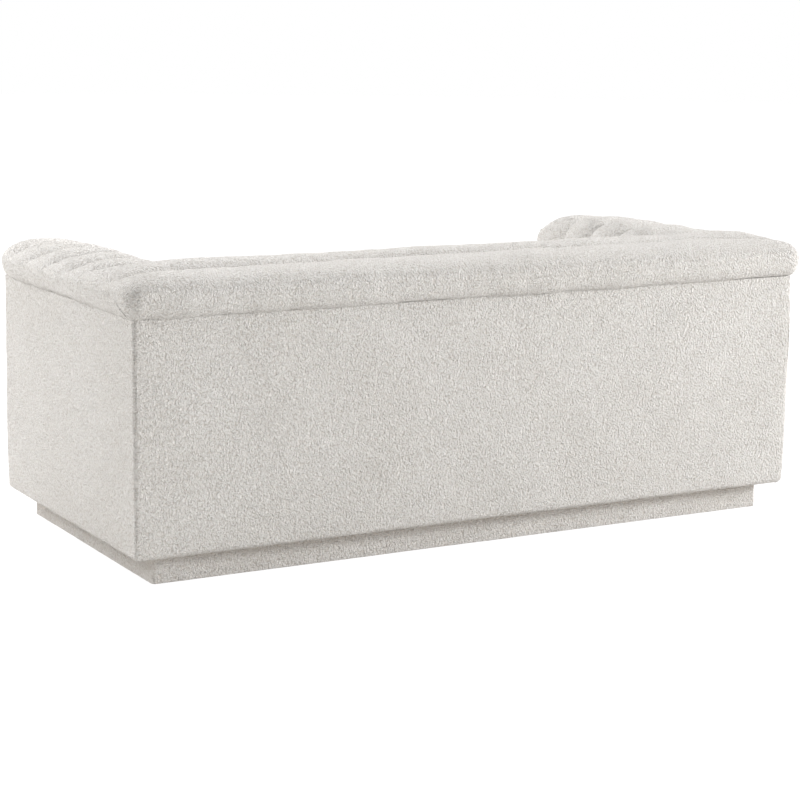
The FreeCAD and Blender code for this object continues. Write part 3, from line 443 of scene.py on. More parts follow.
def arm_rings(droop):
    """The left arm pad: lip, outer shoulder, crown, inner shoulder, inner face, and back along the frame.

    The lip is a quarter circle under the widest line, the two shoulders are superellipse quarters that
    meet level at the crown, and the inner face is straight.  At the nose the crown, the lip and the outer
    side in plan close in as superellipses do.  A droop lowers the crown towards the nose by a soft step.
    """
    depth, sunk, in_nose = arm_stations()
    y = depth[:, None]
    lip_start = panel_gap - back_y
    droop_start = -0.20
    droop_run = 0.24
    round_off = 0.100
    inner_draw = 0.22
    lip_draw = 1.9
    top = rounded((nose_start - y) / nose_length, nose_power)
    low = rounded((lip_start - y) / (lip_start - nose_y), nose_power)
    plan = np.sqrt(1 - np.clip((nose_y + round_off - y) / round_off, 0, 1) ** 2)
    slope = droop * soft_step((droop_start - y) / droop_run)
    crown_z = wide_z + (arm_crown - wide_z) * top - slope
    lip_z = wide_z - (wide_z - pad_z + lip_hang) * low
    inner_z = lip_z + 0.005 * low
    outer_x = wide_x - round_off * (1 - plan)
    inner_x = arm_x + inner_draw * (1 - top) * (crown_x - arm_x)
    edge_x = lip_x - lip_draw * (1 - low) * (wide_x - side_x)
    edge_x = np.minimum(edge_x, outer_x - 0.012 - 0.018 * plan)
    sine, cosine = quarter(18, 2)
    lip = (edge_x + (outer_x - edge_x) * sine, wide_z - (wide_z - lip_z) * cosine)
    sine, cosine = quarter(46, shoulder_power)
    outer = (crown_x + (outer_x - crown_x) * cosine, wide_z + (crown_z - wide_z) * sine)
    across, down = quarter(46, nose_power)
    inner = (crown_x - (crown_x - inner_x) * across, inner_z + (crown_z - inner_z) * down)
    foot_z = np.where(in_nose[:, None], lip_z, deck_z)
    fall = np.linspace(0, 1, 48)[None, 1:]
    face = (inner_x + 0 * fall, inner_z + (foot_z - inner_z) * fall)
    share = np.linspace(0, 1, 14)[None, 1:-1]
    back_x = np.where(in_nose[:, None], inner_x + 0.01, arm_board_x)
    back = (back_x + 0 * share, foot_z + (lip_z - foot_z) * share)
    under = (back_x + (edge_x - back_x) * share, lip_z + 0 * share)
    spans = (lip, (outer[0][:, 1:], outer[1][:, 1:]), (inner[0][:, 1:], inner[1][:, 1:]), face, back, under)
    x = np.concatenate([span[0] + 0 * y for span in spans], axis=1)
    z = np.concatenate([span[1] + 0 * y for span in spans], axis=1)
    rings = np.stack([x, y + 0 * x, z], axis=2)
    shown = lip[0].shape[1] + outer[0].shape[1] + inner[0].shape[1] - 2 + face[0].shape[1]
    return rings, sunk, shown


def make_arm_pads():
    """Both arm pads, with puckers along the sewn grooves and uneven stuffing; the right nose sits lower."""
    for side, name, droop in ((1, "left", 0.003), (-1, "right", 0.013)):
        make_arm_pad(side, name, droop)


def make_arm_pad(side, name, droop):
    """One arm pad, its grooves sunk along the normals; the right one is the left one seen in a mirror."""
    rings, sunk, shown = arm_rings(droop)
    normal = outward(rings)
    run = np.cumsum(np.linalg.norm(np.diff(rings, axis=1, prepend=rings[:, :1]), axis=2), axis=1)
    column = np.arange(rings.shape[1])
    out = np.where(column < shown, 1.0, 0.0)[None, :]
    least = 0.10
    shoulder_columns = 40
    fade = soft_step((wide_x - rings[:, :, 0] + 0.004) / 0.062)
    above = rings[:, :, 2] > wide_z - 0.002
    fade = np.where(above | (column[None, :] > shoulder_columns), least + (1 - least) * fade, least)
    nearest = np.abs(rings[:, :, 1][:, :, None] - grooves).min(axis=2)
    seed = 17 + 6 * side
    pucker = 0.0007 * np.sin(run * 2 * np.pi / 0.021 + 5 * stuffing(rings, 0.09, 1.0, seed))
    pucker *= np.exp(-(nearest / 0.012) ** 2) * fade
    uneven = stuffing(rings, 0.16, 0.0011, seed + 1) + stuffing(rings, 0.05, 0.0004, seed + 2)
    shift = out * (uneven + pucker - channel_depth * sunk[:, None] * fade)
    formed = rings + normal * shift[:, :, None]
    formed[:, :, 0] *= side
    points, faces = closed_form(formed)
    piece(f"{name}_arm_pad", points, faces, boucle, (f"{name}_arm_channels",))


# Rolls along the back

def roll_stations():
    """Places of a roll's rings from end to end, even along the middle and crowding to the tips."""
    sine, _ = quarter(30, 2, 0.985)
    end = crown_x + (wide_x - crown_x) * sine[1:]
    middle = np.linspace(-crown_x, crown_x, 173)
    return np.concatenate([-end[::-1], middle, end])


def groove_between_rolls(x):
    """The groove between the rolls: its y rises towards both ends as the square of the reach."""
    reach = np.abs(x)
    middle, arm, end = roll_front_y + 0.0966, roll_front_y + 0.1196, roll_front_y + 0.1696
    outer = np.clip((reach - arm_x) / (wide_x - arm_x), 0, 1)
    inner = np.clip(reach / arm_x, 0, 1)
    return middle + (arm - middle) * inner ** 2 + (end - arm) * outer ** 2


def roll_levels(x, crown):
    """Foot and crown heights of a roll, which close on the widest line at the tips as superellipses do.

    Returned with them: how deep the grooves are, as a share that fades out at the tips.
    """
    power = np.where(x < 0, right_tip_power, left_tip_power)
    share = (np.abs(x) - crown_x) / (wide_x - crown_x)
    top = wide_z + (crown - wide_z) * rounded(share, power)
    foot = wide_z - (wide_z - pad_z + lip_hang) * rounded((np.abs(x) - lip_x) / (wide_x - lip_x), 1.7)
    hold = (top - wide_z) / (crown - wide_z)
    fade = hold * (1 - 0.85 * soft_step((np.abs(x) - wide_x + 0.075) / 0.070))
    return foot, top, fade


def make_second_roll():
    """The roll behind the seat: level at its crown, and sunk to both grooves as the cube of a cosine.

    The front groove is deeper between the arms, and four bell curves along the roll are uneven filling.
    """
    x = roll_stations()[:, None]
    level = second_crown - (second_crown - back_crown) * soft_step((np.abs(x) - crown_x) / 0.060)
    foot, top, fade = roll_levels(x, level)
    open_front = 1 - soft_step((np.abs(x) - arm_x + 0.012) / 0.024)
    front_depth = (channel_depth + (seat_groove_depth - channel_depth) * open_front) * fade
    rear_depth = roll_groove_depth * fade
    front = roll_front_y - pressed + 0 * x
    rear = groove_between_rolls(x) + pressed
    turn = np.linspace(0, np.pi, 75)[None, :]
    y_over = (front + rear) / 2 - (rear - front) / 2 * np.cos(turn)
    depth = np.where(turn < np.pi / 2, front_depth, rear_depth)
    z_over = top - depth * np.abs(np.cos(turn)) ** 3
    for place, width, lift in ((0.70, 0.14, 0.0050), (0.10, 0.17, 0.0030), (-0.85, 0.045, 0.0050),
                               (0.37, 0.06, -0.0012)):
        z_over = z_over + lift * np.exp(-((x - place) / width) ** 2) * np.sin(turn)
    rise = np.linspace(0, 1, 9)[None, :-1]
    up = (front + 0 * rise, foot + (z_over[:, :1] - foot) * rise)
    down = (rear + 0 * rise, z_over[:, -1:] + (foot - z_over[:, -1:]) * (rise + rise[:, 1:2]))
    across = np.linspace(0, 1, 12)[None, 1:-1]
    under = (rear + (front - rear) * across, foot + 0 * across)
    y = np.concatenate([up[0], y_over, down[0], under[0]], axis=1)
    z = np.concatenate([up[1], z_over, down[1], under[1]], axis=1)
    rings = np.stack([x + 0 * y, y, z], axis=2)
    shown = slice(2, up[0].shape[1] + y_over.shape[1])
    finish_roll("second_roll_pad", rings, shown, "second_roll", 31, fade)


def make_back_roll():
    """The outermost roll: up from the groove as the cube of a cosine, and over the back to a seam and a lip.

    Over the back it is a superellipse quarter down to its widest line, and the lip is a quarter circle.
    """
    x = roll_stations()[:, None]
    foot, top, fade = roll_levels(x, back_crown)
    corner = 0.040
    around = np.clip((np.abs(x) - wide_x + corner) / corner, 0, 1)
    rear = roll_rear_y - corner * (1 - np.sqrt(1 - around ** 2))
    lip_y = rear - (roll_rear_y - back_y + panel_gap)
    front = groove_between_rolls(x) - pressed
    crown_y = front + 0.42 * (rear - front)
    turn = np.linspace(0, np.pi / 2, 34)[None, :]
    depth = roll_groove_depth * fade
    rise_y = crown_y - (crown_y - front) * np.cos(turn)
    rise_z = top - depth * np.cos(turn) ** 3
    sine, cosine = quarter(70, 2.3)
    over_y = crown_y + (rear - crown_y) * sine[None, 1:]
    over_z = wide_z + (top - wide_z) * cosine[None, 1:]
    sine, cosine = quarter(30, 2)
    lip = (lip_y + (rear - lip_y) * cosine[None, 1:], wide_z - (wide_z - foot) * sine[None, 1:])
    up_share = np.linspace(0, 1, 9)[None, :-1]
    up = (front + 0 * up_share, foot + (rise_z[:, :1] - foot) * up_share)
    across = np.linspace(0, 1, 14)[None, 1:-1]
    under = (lip_y + (front - lip_y) * across, foot + 0 * across)
    y = np.concatenate([up[0], rise_y, over_y, lip[0], under[0]], axis=1)
    z = np.concatenate([up[1], rise_z, over_z, lip[1], under[1]], axis=1)
    rings = np.stack([x + 0 * y, y, z], axis=2)
    shown = slice(2, y.shape[1] - across.shape[1] - 1)
    seam = np.exp(-((z - wide_z) / 0.0026) ** 2) * (y > crown_y) * soft_step((top - wide_z) / 0.045)
    finish_roll("back_roll_pad", rings, shown, "back_roll", 47, fade, 0.0016 * seam)


def finish_roll(name, rings, shown, node, seed, fade, seam=0.0):
    """Adds uneven stuffing, puckers beside the grooves, and the seam, all along the normals.

    The right tip is drawn in a little, by a soft step of the place along the roll.
    """
    tip_draw = 0.003
    normal = outward(rings)
    out = np.zeros(rings.shape[1])
    out[shown] = 1.0
    groove = groove_between_rolls(rings[:, :, 0])
    gap = np.abs(rings[:, :, 1] - groove)
    pucker = 0.0007 * np.sin(rings[:, :, 0] * 2 * np.pi / 0.023 + 5 * stuffing(rings, 0.10, 1.0, seed))
    pucker *= np.exp(-(gap / 0.013) ** 2) * fade
    uneven = stuffing(rings, 0.24, 0.0012, seed + 1) + stuffing(rings, 0.07, 0.0005, seed + 2)
    formed = rings + normal * (out[None, :] * (uneven + pucker - seam))[:, :, None]
    formed[:, :, 0] += tip_draw * soft_step((-rings[:, :, 0] - crown_x) / 0.120)
    points, faces = closed_form(formed)
    piece(name, points, faces, boucle, (node,))


# Inner back

def make_inner_back():
    """Three level channels, each a half ellipse between two sewn grooves, leaning back with the frame."""
    face_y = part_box("inner_back_channels")[0].y
    lean = 0.020
    rows = 3
    pitch = (pad_z - deck_z) / rows
    reach = arm_board_x - 0.003
    tuck_width = 0.03
    level_end = reach - tuck_width
    ends = level_end + tuck_width * quarter(12, 2)[0]
    x = np.concatenate([-ends[::-1], np.linspace(-level_end, level_end, 115)[1:-1], ends])[:, None]
    turn = np.linspace(0, np.pi, 41)[None, :]
    z = np.concatenate([deck_z + pitch * (row + (1 - np.cos(turn)) / 2) for row in range(rows)], axis=1)
    sunk = np.concatenate([1 - np.sin(turn)] * rows, axis=1)
    back_lean = lean * (z - deck_z) / (pad_z - 0.018 - deck_z)
    groove_depth = 0.012
    tuck = groove_depth * (1 - np.sqrt(1 - np.clip((np.abs(x) - level_end) / tuck_width, 0, 1) ** 2))
    y = face_y + back_lean + groove_depth * sunk + tuck + 0 * x
    share = np.linspace(0, 1, 20)[None, 1:-1]
    rear_y = face_y + 0.040 + lean * (1 - share)
    rear_z = pad_z + (deck_z - pad_z) * share
    y = np.concatenate([y, rear_y + 0 * x], axis=1)
    z = np.concatenate([z + 0 * x, rear_z + 0 * x], axis=1)
    rings = np.stack([x + 0 * y, y, z], axis=2)
    normal = outward(rings)
    out = (np.arange(rings.shape[1]) < turn.shape[1] * rows)[None, :]
    uneven = stuffing(rings, 0.18, 0.0014, 61) + stuffing(rings, 0.05, 0.0005, 62)
    crease = np.concatenate([sunk, 0 * share], axis=1)
    pucker = 0.0009 * np.sin(rings[:, :, 0] * 2 * np.pi / 0.024 + 5 * stuffing(rings, 0.10, 1.0, 63))
    pucker *= crease
    formed = rings + normal * ((uneven + pucker) * out)[:, :, None]
    points, faces = closed_form(formed)
    piece("inner_back_pad", points, faces, boucle, ("inner_back_channels",))


# Upholstered faces of the body

def bend(centre, radius, start, finish, count=9):
    """Points and outward normals of an arc in plan, by the angle's cosine and sine."""
    turn = np.radians(np.linspace(start, finish, count))
    normal = np.stack([np.cos(turn), np.sin(turn)], axis=1)
    return np.array(centre) + radius * normal, normal


def straight(start, finish, normal, count):
    """Evenly spaced points of a line in plan, without its two ends, all with one normal."""
    share = np.linspace(0, 1, count)[1:-1, None]
    points = np.array(start) + (np.array(finish) - np.array(start)) * share
    return points, np.tile(np.array(normal, float), (len(points), 1))


def upright_profile(low, high, edge, thickness, top_edge=0.0):
    """Offsets and heights round a padded face: down its outside, round the lower edge and up its inside."""
    turn = np.linspace(0, np.pi / 2, 10)[1:]
    down = np.linspace(high - top_edge, low + edge, 46)
    outside = np.stack([0 * down, down], axis=1)
    under = np.stack([-edge * (1 - np.cos(turn)), low + edge * (1 - np.sin(turn))], axis=1)
    inner = np.stack([-edge + (edge - thickness) * np.cos(turn[::-1]),
                      low + edge - (edge - thickness) * np.sin(turn[::-1])], axis=1)
    rows = [outside, under, inner]
    if top_edge:
        over = np.stack([-top_edge * (1 - np.cos(turn)), high - top_edge * (1 - np.sin(turn))], axis=1)
        inside = np.stack([-top_edge + (top_edge - thickness) * np.cos(turn[::-1]),
                           high - top_edge + (top_edge - thickness) * np.sin(turn[::-1])], axis=1)
        rows = [over[::-1], outside, under, inner, inside]
    else:
        rows.append(np.array([[-thickness, high]]))
    return np.concatenate(rows)


def padded_face(name, path, profile, node, seed, seams=(), endless=False):
    """A padded cloth face: the upright profile carried along a path in plan.

    Each point is the path's point plus its normal times the profile's offset, at the profile's height.
    Seams sink the face by a narrow bell curve of the distance to a point of the path.  Towards the right
    end the face swells, by one minus the fourth power of the height's distance from the middle.
    """
    place = np.concatenate([part[0] for part in path])
    normal = np.concatenate([part[1] for part in path])
    offset, height = profile[:, 0], profile[:, 1]
    seam_depth = 0.0018
    seam_width = 0.0028
    sink = np.zeros(len(place))
    for seam in seams:
        gap = np.linalg.norm(place - np.array(seam), axis=1)
        sink += seam_depth * np.exp(-(gap / seam_width) ** 2)
    xy = place[:, None, :] + normal[:, None, :] * (offset[None, :, None] - sink[:, None, None])
    rings = np.concatenate([xy, np.broadcast_to(height[None, :, None], xy.shape[:2] + (1,))], axis=2)
    ripple = stuffing(rings, 0.22, 0.0006, seed) + stuffing(rings, 0.06, 0.00022, seed + 1)
    middle, half = (height.max() + height.min()) / 2, (height.max() - height.min()) / 2
    belly = 0.0 if endless else 0.0006 + 0.0040 * soft_step((-place[:, :1] - side_x + 0.13) / 0.12)
    ripple += belly * (1 - ((height - middle) / half) ** 4)
    rings[:, :, :2] += normal[:, None, :] * ripple[:, :, None]
    points, faces = closed_form(rings, endless)
    piece(name, points, faces, boucle, (node,))


def make_body_faces():
    """Side, back and front faces; the side cloth turns most of each corner, up to a sunk seam."""
    radius = corner_radius
    seam_turn = 58
    corner = np.array([side_x - radius, back_y - radius])
    seam = corner + radius * np.array([math.cos(math.radians(seam_turn)), math.sin(math.radians(seam_turn))])
    inner_radius = 0.008
    hem = base_z - 0.004
    profile = upright_profile(hem, pad_z, hem_edge, face_thickness)
    for side, name, seed in ((1, "left", 71), (-1, "right", 77)):
        seams = [(side * seam[0], -seam[1]), (side * seam[0], seam[1])]
        path = [bend(corner * (1, -1), radius, -seam_turn, 0, 14),
                straight((side_x, radius - back_y), (side_x, back_y - radius), (1, 0), 62),
                bend(corner, radius, 0, seam_turn, 14)]
        path = [(points * (side, 1), normal * (side, 1)) for points, normal in path]
        padded_face(f"{name}_side_cloth", path, profile, f"{name}_side_panel", seed, seams)
        path = [straight((arm_x, -back_y + 0.0135), (arm_x, -back_y + inner_radius), (-1, 0), 5),
                bend((arm_x + inner_radius, -back_y + inner_radius), inner_radius, 180, 270),
                straight((arm_x + inner_radius, -back_y), (corner[0], -back_y), (0, -1), 34),
                bend(corner * (1, -1), radius, -90, -seam_turn, 9)]
        path = [(points * (side, 1), normal * (side, 1)) for points, normal in path]
        padded_face(f"{name}_arm_front_cloth", path, profile, f"{name}_arm_front_panel", seed + 2, seams[:1])
    path = [bend(corner, radius, seam_turn, 90, 9),
            straight((corner[0], back_y), (-corner[0], back_y), (0, 1), 170),
            bend(corner * (-1, 1), radius, 90, 180 - seam_turn, 9)]
    padded_face("back_cloth", path, profile, "back_panel", 83, [(-seam[0], seam[1]), (seam[0], seam[1])])
    profile = upright_profile(hem, deck_z, hem_edge, face_thickness, top_edge=0.010)
    edges = [0.0006 - arm_x, 0.010 - arm_x, arm_x - 0.010, arm_x - 0.0006]
    path = [straight((start, -back_y), (finish, -back_y), (0, -1), count)
            for start, finish, count in zip(edges, edges[1:], (12, 120, 12))]
    padded_face("rail_cloth", path, profile, "front_rail_panel", 89, [(-arm_x, -back_y), (arm_x, -back_y)])


def make_plinth_cloth():
    """The cloth round the plinth: one endless band with small round corners."""
    low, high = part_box("plinth_cover")
    radius = corner_radius
    x, front, rear = high.x, low.y, high.y
    path = [bend((x - radius, rear - radius), radius, 0, 90),
            straight((x - radius, rear), (radius - x, rear), (0, 1), 140),
            bend((radius - x, rear - radius), radius, 90, 180),
            straight((-x, rear - radius), (-x, front + radius), (-1, 0), 60),
            bend((radius - x, front + radius), radius, 180, 270),
            straight((radius - x, front), (x - radius, front), (0, -1), 140),
            bend((x - radius, front + radius), radius, 270, 360),
            straight((x, front + radius), (x, rear - radius), (1, 0), 60)]
    profile = upright_profile(0.0004, high.z - 0.0005, 0.002, 0.0015)
    padded_face("plinth_cloth", path, profile, "plinth_cover", 97, endless=True)


# Seat cushions

def rounded_box(low, high, radius, cells):
    """A box with round edges: grid points of a cube, each pushed to the radius from the inner box."""
    low, high = np.array(low, float), np.array(high, float)
    half = (high - low) / 2
    steps = [np.linspace(-1, 1, count) for count in cells]
    points, faces = [], []
    for axis in range(3):
        others = [k for k in range(3) if k != axis]
        first, second = np.meshgrid(steps[others[0]], steps[others[1]], indexing="ij")
        for end in (-1, 1):
            side = np.empty(first.shape + (3,))
            side[..., axis] = end
            side[..., others[0]] = first
            side[..., others[1]] = second
            flat = side * half
            inner = np.clip(flat, -(half - radius), half - radius)
            reach = flat - inner
            reach /= np.maximum(np.linalg.norm(reach, axis=-1, keepdims=True), 1e-12)
            faces += quads_between(numbered(*first.shape, sum(len(part) for part in points)))
            points.append((inner + radius * reach).reshape(-1, 3))
    return np.concatenate(points) + (low + high) / 2, faces


def joined_mesh(name, points, faces):
    """A mesh whose coincident points are merged and whose faces all point outwards."""
    mesh = bpy.data.meshes.new(name)
    mesh.from_pydata(points, [], faces)
    work = bmesh.new()
    work.from_mesh(mesh)
    bmesh.ops.remove_doubles(work, verts=work.verts, dist=1e-5)
    bmesh.ops.recalc_face_normals(work, faces=work.faces)
    work.to_mesh(mesh)
    work.free()
    return mesh


def coordinates(mesh):
    """A mesh's points as an array."""
    points = np.empty(len(mesh.vertices) * 3, np.float32)
    mesh.vertices.foreach_get("co", points)
    return points.reshape(-1, 3).astype(float)


def evaluated_copy(made):
    """A mesh of the object with its modifiers applied."""
    ready = made.evaluated_get(bpy.context.evaluated_depsgraph_get())
    return bpy.data.meshes.new_from_object(ready)


def blown_up(made, cap):
    """Fills a cloth shell by pressure and returns its points before and after.

    How far each point has moved is eased towards the cap by a hyperbolic tangent.
    """
    scene = bpy.context.scene
    last_step = 20
    rest = coordinates(made.data)
    cloth = made.modifiers.new("filling", "CLOTH")
    cloth.settings.quality = 5
    cloth.settings.mass = 0.4
    cloth.settings.tension_stiffness = 12
    cloth.settings.compression_stiffness = 12
    cloth.settings.shear_stiffness = 6
    cloth.settings.bending_stiffness = 0.6
    cloth.settings.use_pressure = True
    cloth.settings.uniform_pressure_force = 4.0
    cloth.settings.effector_weights.gravity = 0.0
    cloth.point_cache.frame_start = 1
    cloth.point_cache.frame_end = last_step
    for step in range(1, last_step + 1):
        scene.frame_set(step)
    filled = coordinates(evaluated_copy(made))
    made.modifiers.clear()
    scene.frame_set(1)
    move = filled - rest
    length = np.maximum(np.linalg.norm(move, axis=1, keepdims=True), 1e-9)
    return rest, rest + move * (cap * np.tanh(length / cap) / length)


def cushion_mesh():
    """The left seat cushion: a domed box shell, filled by cloth simulation and kept within its box.

    The dome is the product of one minus the cubes of the two shares.  The floor rests flat on the deck,
    and the box seams are narrow bell-shaped valleys at two levels of the sides.
    """
    low, high = (np.array(corner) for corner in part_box("left_cushion_cover"))
    inset = 0.009
    crown_rise = 0.012
    seam_depth = 0.0030
    seam_width = 0.0035
    edge_high = high[2] - 0.026
    points, faces = rounded_box(low + inset, (*(high[:2] - inset), edge_high - 0.004), 0.030, (60, 52, 26))
    middle, half = (low + high) / 2, (high - low) / 2
    share = np.clip(np.abs((points[:, :2] - middle[:2]) / half[:2]), 0, 1)
    dome = (1 - share[:, 0] ** 3) * (1 - share[:, 1] ** 3)
    upper = soft_step((points[:, 2] - middle[2]) / half[2] * 1.4)
    points[:, 2] += crown_rise * dome * upper
    mesh = joined_mesh("cushion_shell", points, faces)
    shell = bpy.data.objects.new("cushion_shell", mesh)
    bpy.context.scene.collection.objects.link(shell)
    remesh = shell.modifiers.new("even_cloth", "REMESH")
    remesh.mode = "VOXEL"
    remesh.voxel_size = 0.0065
    shell.data = evaluated_copy(shell)
    shell.modifiers.clear()
    rest, formed = blown_up(shell, 0.026)
    shell.data.vertices.foreach_set("co", formed.astype(np.float32).ravel())
    remembered = shell.data.attributes.new("rest", "FLOAT_VECTOR", "POINT")
    remembered.data.foreach_set("vector", rest.astype(np.float32).ravel())
    smooth = shell.modifiers.new("smooth", "SUBSURF")
    smooth.levels = smooth.render_levels = 1
    finished = evaluated_copy(shell)
    bpy.data.objects.remove(shell)
    formed = coordinates(finished)
    rest = np.empty(len(finished.vertices) * 3, np.float32)
    finished.attributes["rest"].data.foreach_get("vector", rest)
    rest = rest.reshape(-1, 3).astype(float)
    finished.attributes.remove(finished.attributes["rest"])
    normal = np.empty(len(finished.vertices) * 3, np.float32)
    finished.vertices.foreach_get("normal", normal)
    normal = normal.reshape(-1, 3)
    wall = soft_step((np.abs((rest - middle) / (half - inset)).max(axis=1) - 0.9) / 0.05)
    sides = np.abs((rest[:, :2] - middle[:2]) / (half[:2] - inset)).max(axis=1) > 0.965
    shift = np.zeros(len(rest))
    for level in (edge_high - 0.020, low[2] + inset + 0.016):
        shift -= seam_depth * np.exp(-((rest[:, 2] - level) / seam_width) ** 2) * sides * wall
    shift += stuffing(rest, 0.20, 0.0011, 101) + stuffing(rest, 0.06, 0.0005, 102)
    formed = formed + normal * shift[:, None]
    formed = np.clip(formed, (low[0], low[1], low[2] + 0.0004), high)
    faces = [tuple(face.vertices) for face in finished.polygons]
    return formed, faces


def make_cushions():
    """Both seat cushions; the right one is the left one's mirror image."""
    points, faces = cushion_mesh()
    for side, name in ((1, "left"), (-1, "right")):
        placed = points * (side, 1, 1)
        ordered = faces if side > 0 else [face[::-1] for face in faces]
        piece(f"{name}_cushion_pad", placed, ordered, boucle,
              (f"{name}_cushion_cover", f"{name}_cushion_core"),
              body=f"{name}_seat_cushion", sharp=180)


# Deck and dust cloths

def cloth_grid(name, low, high, level, sag, node, material, seed, count):
    """A stretched cloth, sagging as one minus the fourth powers of the two shares, with fine ripples."""
    across, deep = np.meshgrid(np.linspace(-1, 1, count[0]), np.linspace(-1, 1, count[1]), indexing="ij")
    middle, half = (np.array(low) + np.array(high)) / 2, (np.array(high) - np.array(low)) / 2
    x, y = middle[0] + half[0] * across, middle[1] + half[1] * deep
    z = level - sag * (1 - across ** 4) * (1 - deep ** 4)
    points = np.stack([x, y, z], axis=2)
    points[:, :, 2] += stuffing(points, 0.12, 0.00012, seed) * (1 - across ** 8) * (1 - deep ** 8)
    made = piece(name, points.reshape(-1, 3), quads_between(numbered(*count)), material, (node,))
    thick = made.modifiers.new("thickness", "SOLIDIFY")
    thick.thickness = 0.001
    thick.offset = -1
    return made


def make_cloths():
    """The deck cloth, whose front band is boucle, and the dust cloth under the plinth."""
    front_band = 0.11
    low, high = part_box("deck_cloth")
    deck = cloth_grid("deck_sheet", low[:2], high[:2], deck_z, 0.0003, "deck_cloth", deck_weave,
                      111, (150, 66))
    deck.data.materials.append(boucle)
    centres = np.empty(len(deck.data.polygons) * 3, np.float32)
    deck.data.polygons.foreach_get("center", centres)
    front = (centres.reshape(-1, 3)[:, 1] < low.y + front_band).astype(np.int32)
    deck.data.polygons.foreach_set("material_index", front)
    low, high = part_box("dust_cloth")
    cloth_grid("dust_sheet", low[:2], high[:2], high.z, 0.0, "dust_cloth", dust_weave, 117,
               (80, 36))


# Floor, lamps and camera

def make_floor():
    """A round pale floor of rings of points, which shows white to the camera and keeps a faint shadow."""
    turn = np.linspace(0, 2 * np.pi, 97)[:-1]
    radii = np.array([0.4, 1.5, 4.0, 9.0, 20.0])
    points = [np.zeros((1, 3))]
    for radius in radii:
        points.append(np.stack([radius * np.cos(turn), radius * np.sin(turn), 0 * turn], axis=1))
    count = len(turn)
    near = np.arange(count)
    faces = np.stack([np.zeros(count, int), 1 + near, 1 + np.roll(near, -1)], axis=1).tolist()
    index = numbered(len(radii), count, 1)
    faces += quads_between(np.concatenate([index, index[:, :1]], axis=1))
    mesh = bpy.data.meshes.new("floor")
    mesh.from_pydata(np.concatenate(points), [], faces)
    floor = bpy.data.objects.new("floor", mesh)
    bpy.context.scene.collection.objects.link(floor)
    material = bpy.data.materials.new("pale_floor")
    material.use_nodes = True
    nodes, links = material.node_tree.nodes, material.node_tree.links
    nodes.clear()
    plain = nodes.new("ShaderNodeBsdfDiffuse")
    plain.inputs["Color"].default_value = (0.93, 0.92, 0.90, 1)
    faint = nodes.new("ShaderNodeBsdfDiffuse")
    faint.inputs["Color"].default_value = (0.16, 0.16, 0.16, 1)
    glow = nodes.new("ShaderNodeEmission")
    glow.inputs["Strength"].default_value = 0.94
    both = nodes.new("ShaderNodeAddShader")
    links.new(faint.outputs[0], both.inputs[0])
    links.new(glow.outputs[0], both.inputs[1])
    seen = nodes.new("ShaderNodeMixShader")
    links.new(white_seen(nodes, links), seen.inputs["Fac"])
    links.new(plain.outputs[0], seen.inputs[1])
    links.new(both.outputs[0], seen.inputs[2])
    output = nodes.new("ShaderNodeOutputMaterial")
    links.new(seen.outputs[0], output.inputs["Surface"])
    mesh.materials.append(material)


def white_seen(nodes, links):
    """1 for the camera's rays and for glossy and clear ones, else 0."""
    path = nodes.new("ShaderNodeLightPath")
    first = nodes.new("ShaderNodeMath")
    first.operation = "MAXIMUM"
    second = nodes.new("ShaderNodeMath")
    second.operation = "MAXIMUM"
    links.new(path.outputs["Is Camera Ray"], first.inputs[0])
    links.new(path.outputs["Is Glossy Ray"], first.inputs[1])
    links.new(first.outputs[0], second.inputs[0])
    links.new(path.outputs["Is Transmission Ray"], second.inputs[1])
    return second.outputs[0]


def make_world():
    """White where it is seen, and an even soft light on everything else."""
    world = bpy.data.worlds.new("studio")
    bpy.context.scene.world = world
    world.use_nodes = True
    nodes, links = world.node_tree.nodes, world.node_tree.links
    nodes.clear()
    soft = nodes.new("ShaderNodeBackground")
    soft.inputs["Color"].default_value = (1.0, 0.99, 0.98, 1)
    soft.inputs["Strength"].default_value = world_light
    seen = nodes.new("ShaderNodeBackground")
    seen.inputs["Color"].default_value = (1, 1, 1, 1)
    mix = nodes.new("ShaderNodeMixShader")
    links.new(white_seen(nodes, links), mix.inputs["Fac"])
    links.new(soft.outputs[0], mix.inputs[1])
    links.new(seen.outputs[0], mix.inputs[2])
    output = nodes.new("ShaderNodeOutputWorld")
    links.new(mix.outputs[0], output.inputs["Surface"])


def turned(right, up, back, place):
    """The matrix of something at a place, with its own three axes along the given ones."""
    rows = np.column_stack([right, up, back, place])
    return Matrix(rows.tolist() + [[0, 0, 0, 1]])


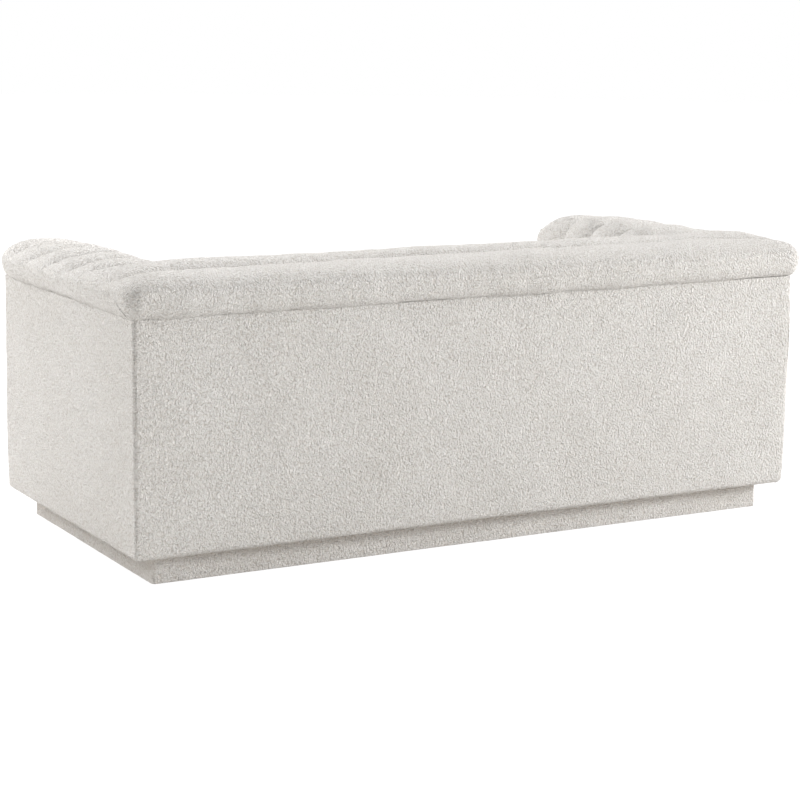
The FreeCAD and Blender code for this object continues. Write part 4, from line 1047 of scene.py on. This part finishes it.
def lamp(name, place, aim, size, power):
    """A soft rectangular lamp at a place, turned to a point."""
    data = bpy.data.lights.new(name, "AREA")
    data.shape = "RECTANGLE"
    data.size, data.size_y = size
    data.energy = power
    made = bpy.data.objects.new(name, data)
    bpy.context.scene.collection.objects.link(made)
    back = np.array(place, float) - np.array(aim, float)
    back /= np.linalg.norm(back)
    right = np.cross((0, 0, 1.0), back)
    right /= np.linalg.norm(right)
    made.matrix_world = turned(right, np.cross(back, right), back, place)


def make_lamps():
    """A key lamp beyond the left front corner, a grazing one along the back, and one above the front."""
    lamp("side_key", (3.2, -2.3, 2.1), (0.8, 0.0, 0.4), (0.9, 0.9), 88)
    lamp("grazing_light", (-5.8, 2.3, 1.7), (-0.2, 0.4, 0.35), (1.0, 1.0), 430)
    lamp("top_light", (0.6, -1.7, 3.0), (0.1, 0.1, 0.5), (0.9, 0.7), 58)


def make_camera():
    """The photograph's camera: place, azimuth, elevation, roll and lens, for a square picture."""
    place = (2.7452, 4.8420, 1.3511)
    azimuth, elevation, roll = (math.radians(angle) for angle in (150.503, 10.811, 0.750))
    data = bpy.data.cameras.new("camera")
    data.lens = 99.69
    data.sensor_width = 36.0
    data.clip_end = 200.0
    camera = bpy.data.objects.new("camera", data)
    bpy.context.scene.collection.objects.link(camera)
    away = np.array([math.sin(azimuth) * math.cos(elevation), -math.cos(azimuth) * math.cos(elevation),
                     math.sin(elevation)])
    right = np.cross(-away, (0.0, 0.0, 1.0))
    right /= np.linalg.norm(right)
    up = np.cross(right, -away)
    rolled_right = right * math.cos(roll) + up * math.sin(roll)
    rolled_up = -right * math.sin(roll) + up * math.cos(roll)
    camera.matrix_world = turned(rolled_right, rolled_up, away, place)
    bpy.context.scene.camera = camera


finish_frame_nodes()
make_arm_pads()
make_second_roll()
make_back_roll()
make_inner_back()
make_body_faces()
make_plinth_cloth()
make_cloths()
make_cushions()
make_floor()
make_world()
make_lamps()
make_camera()
bpy.context.scene.view_settings.view_transform = "Standard"
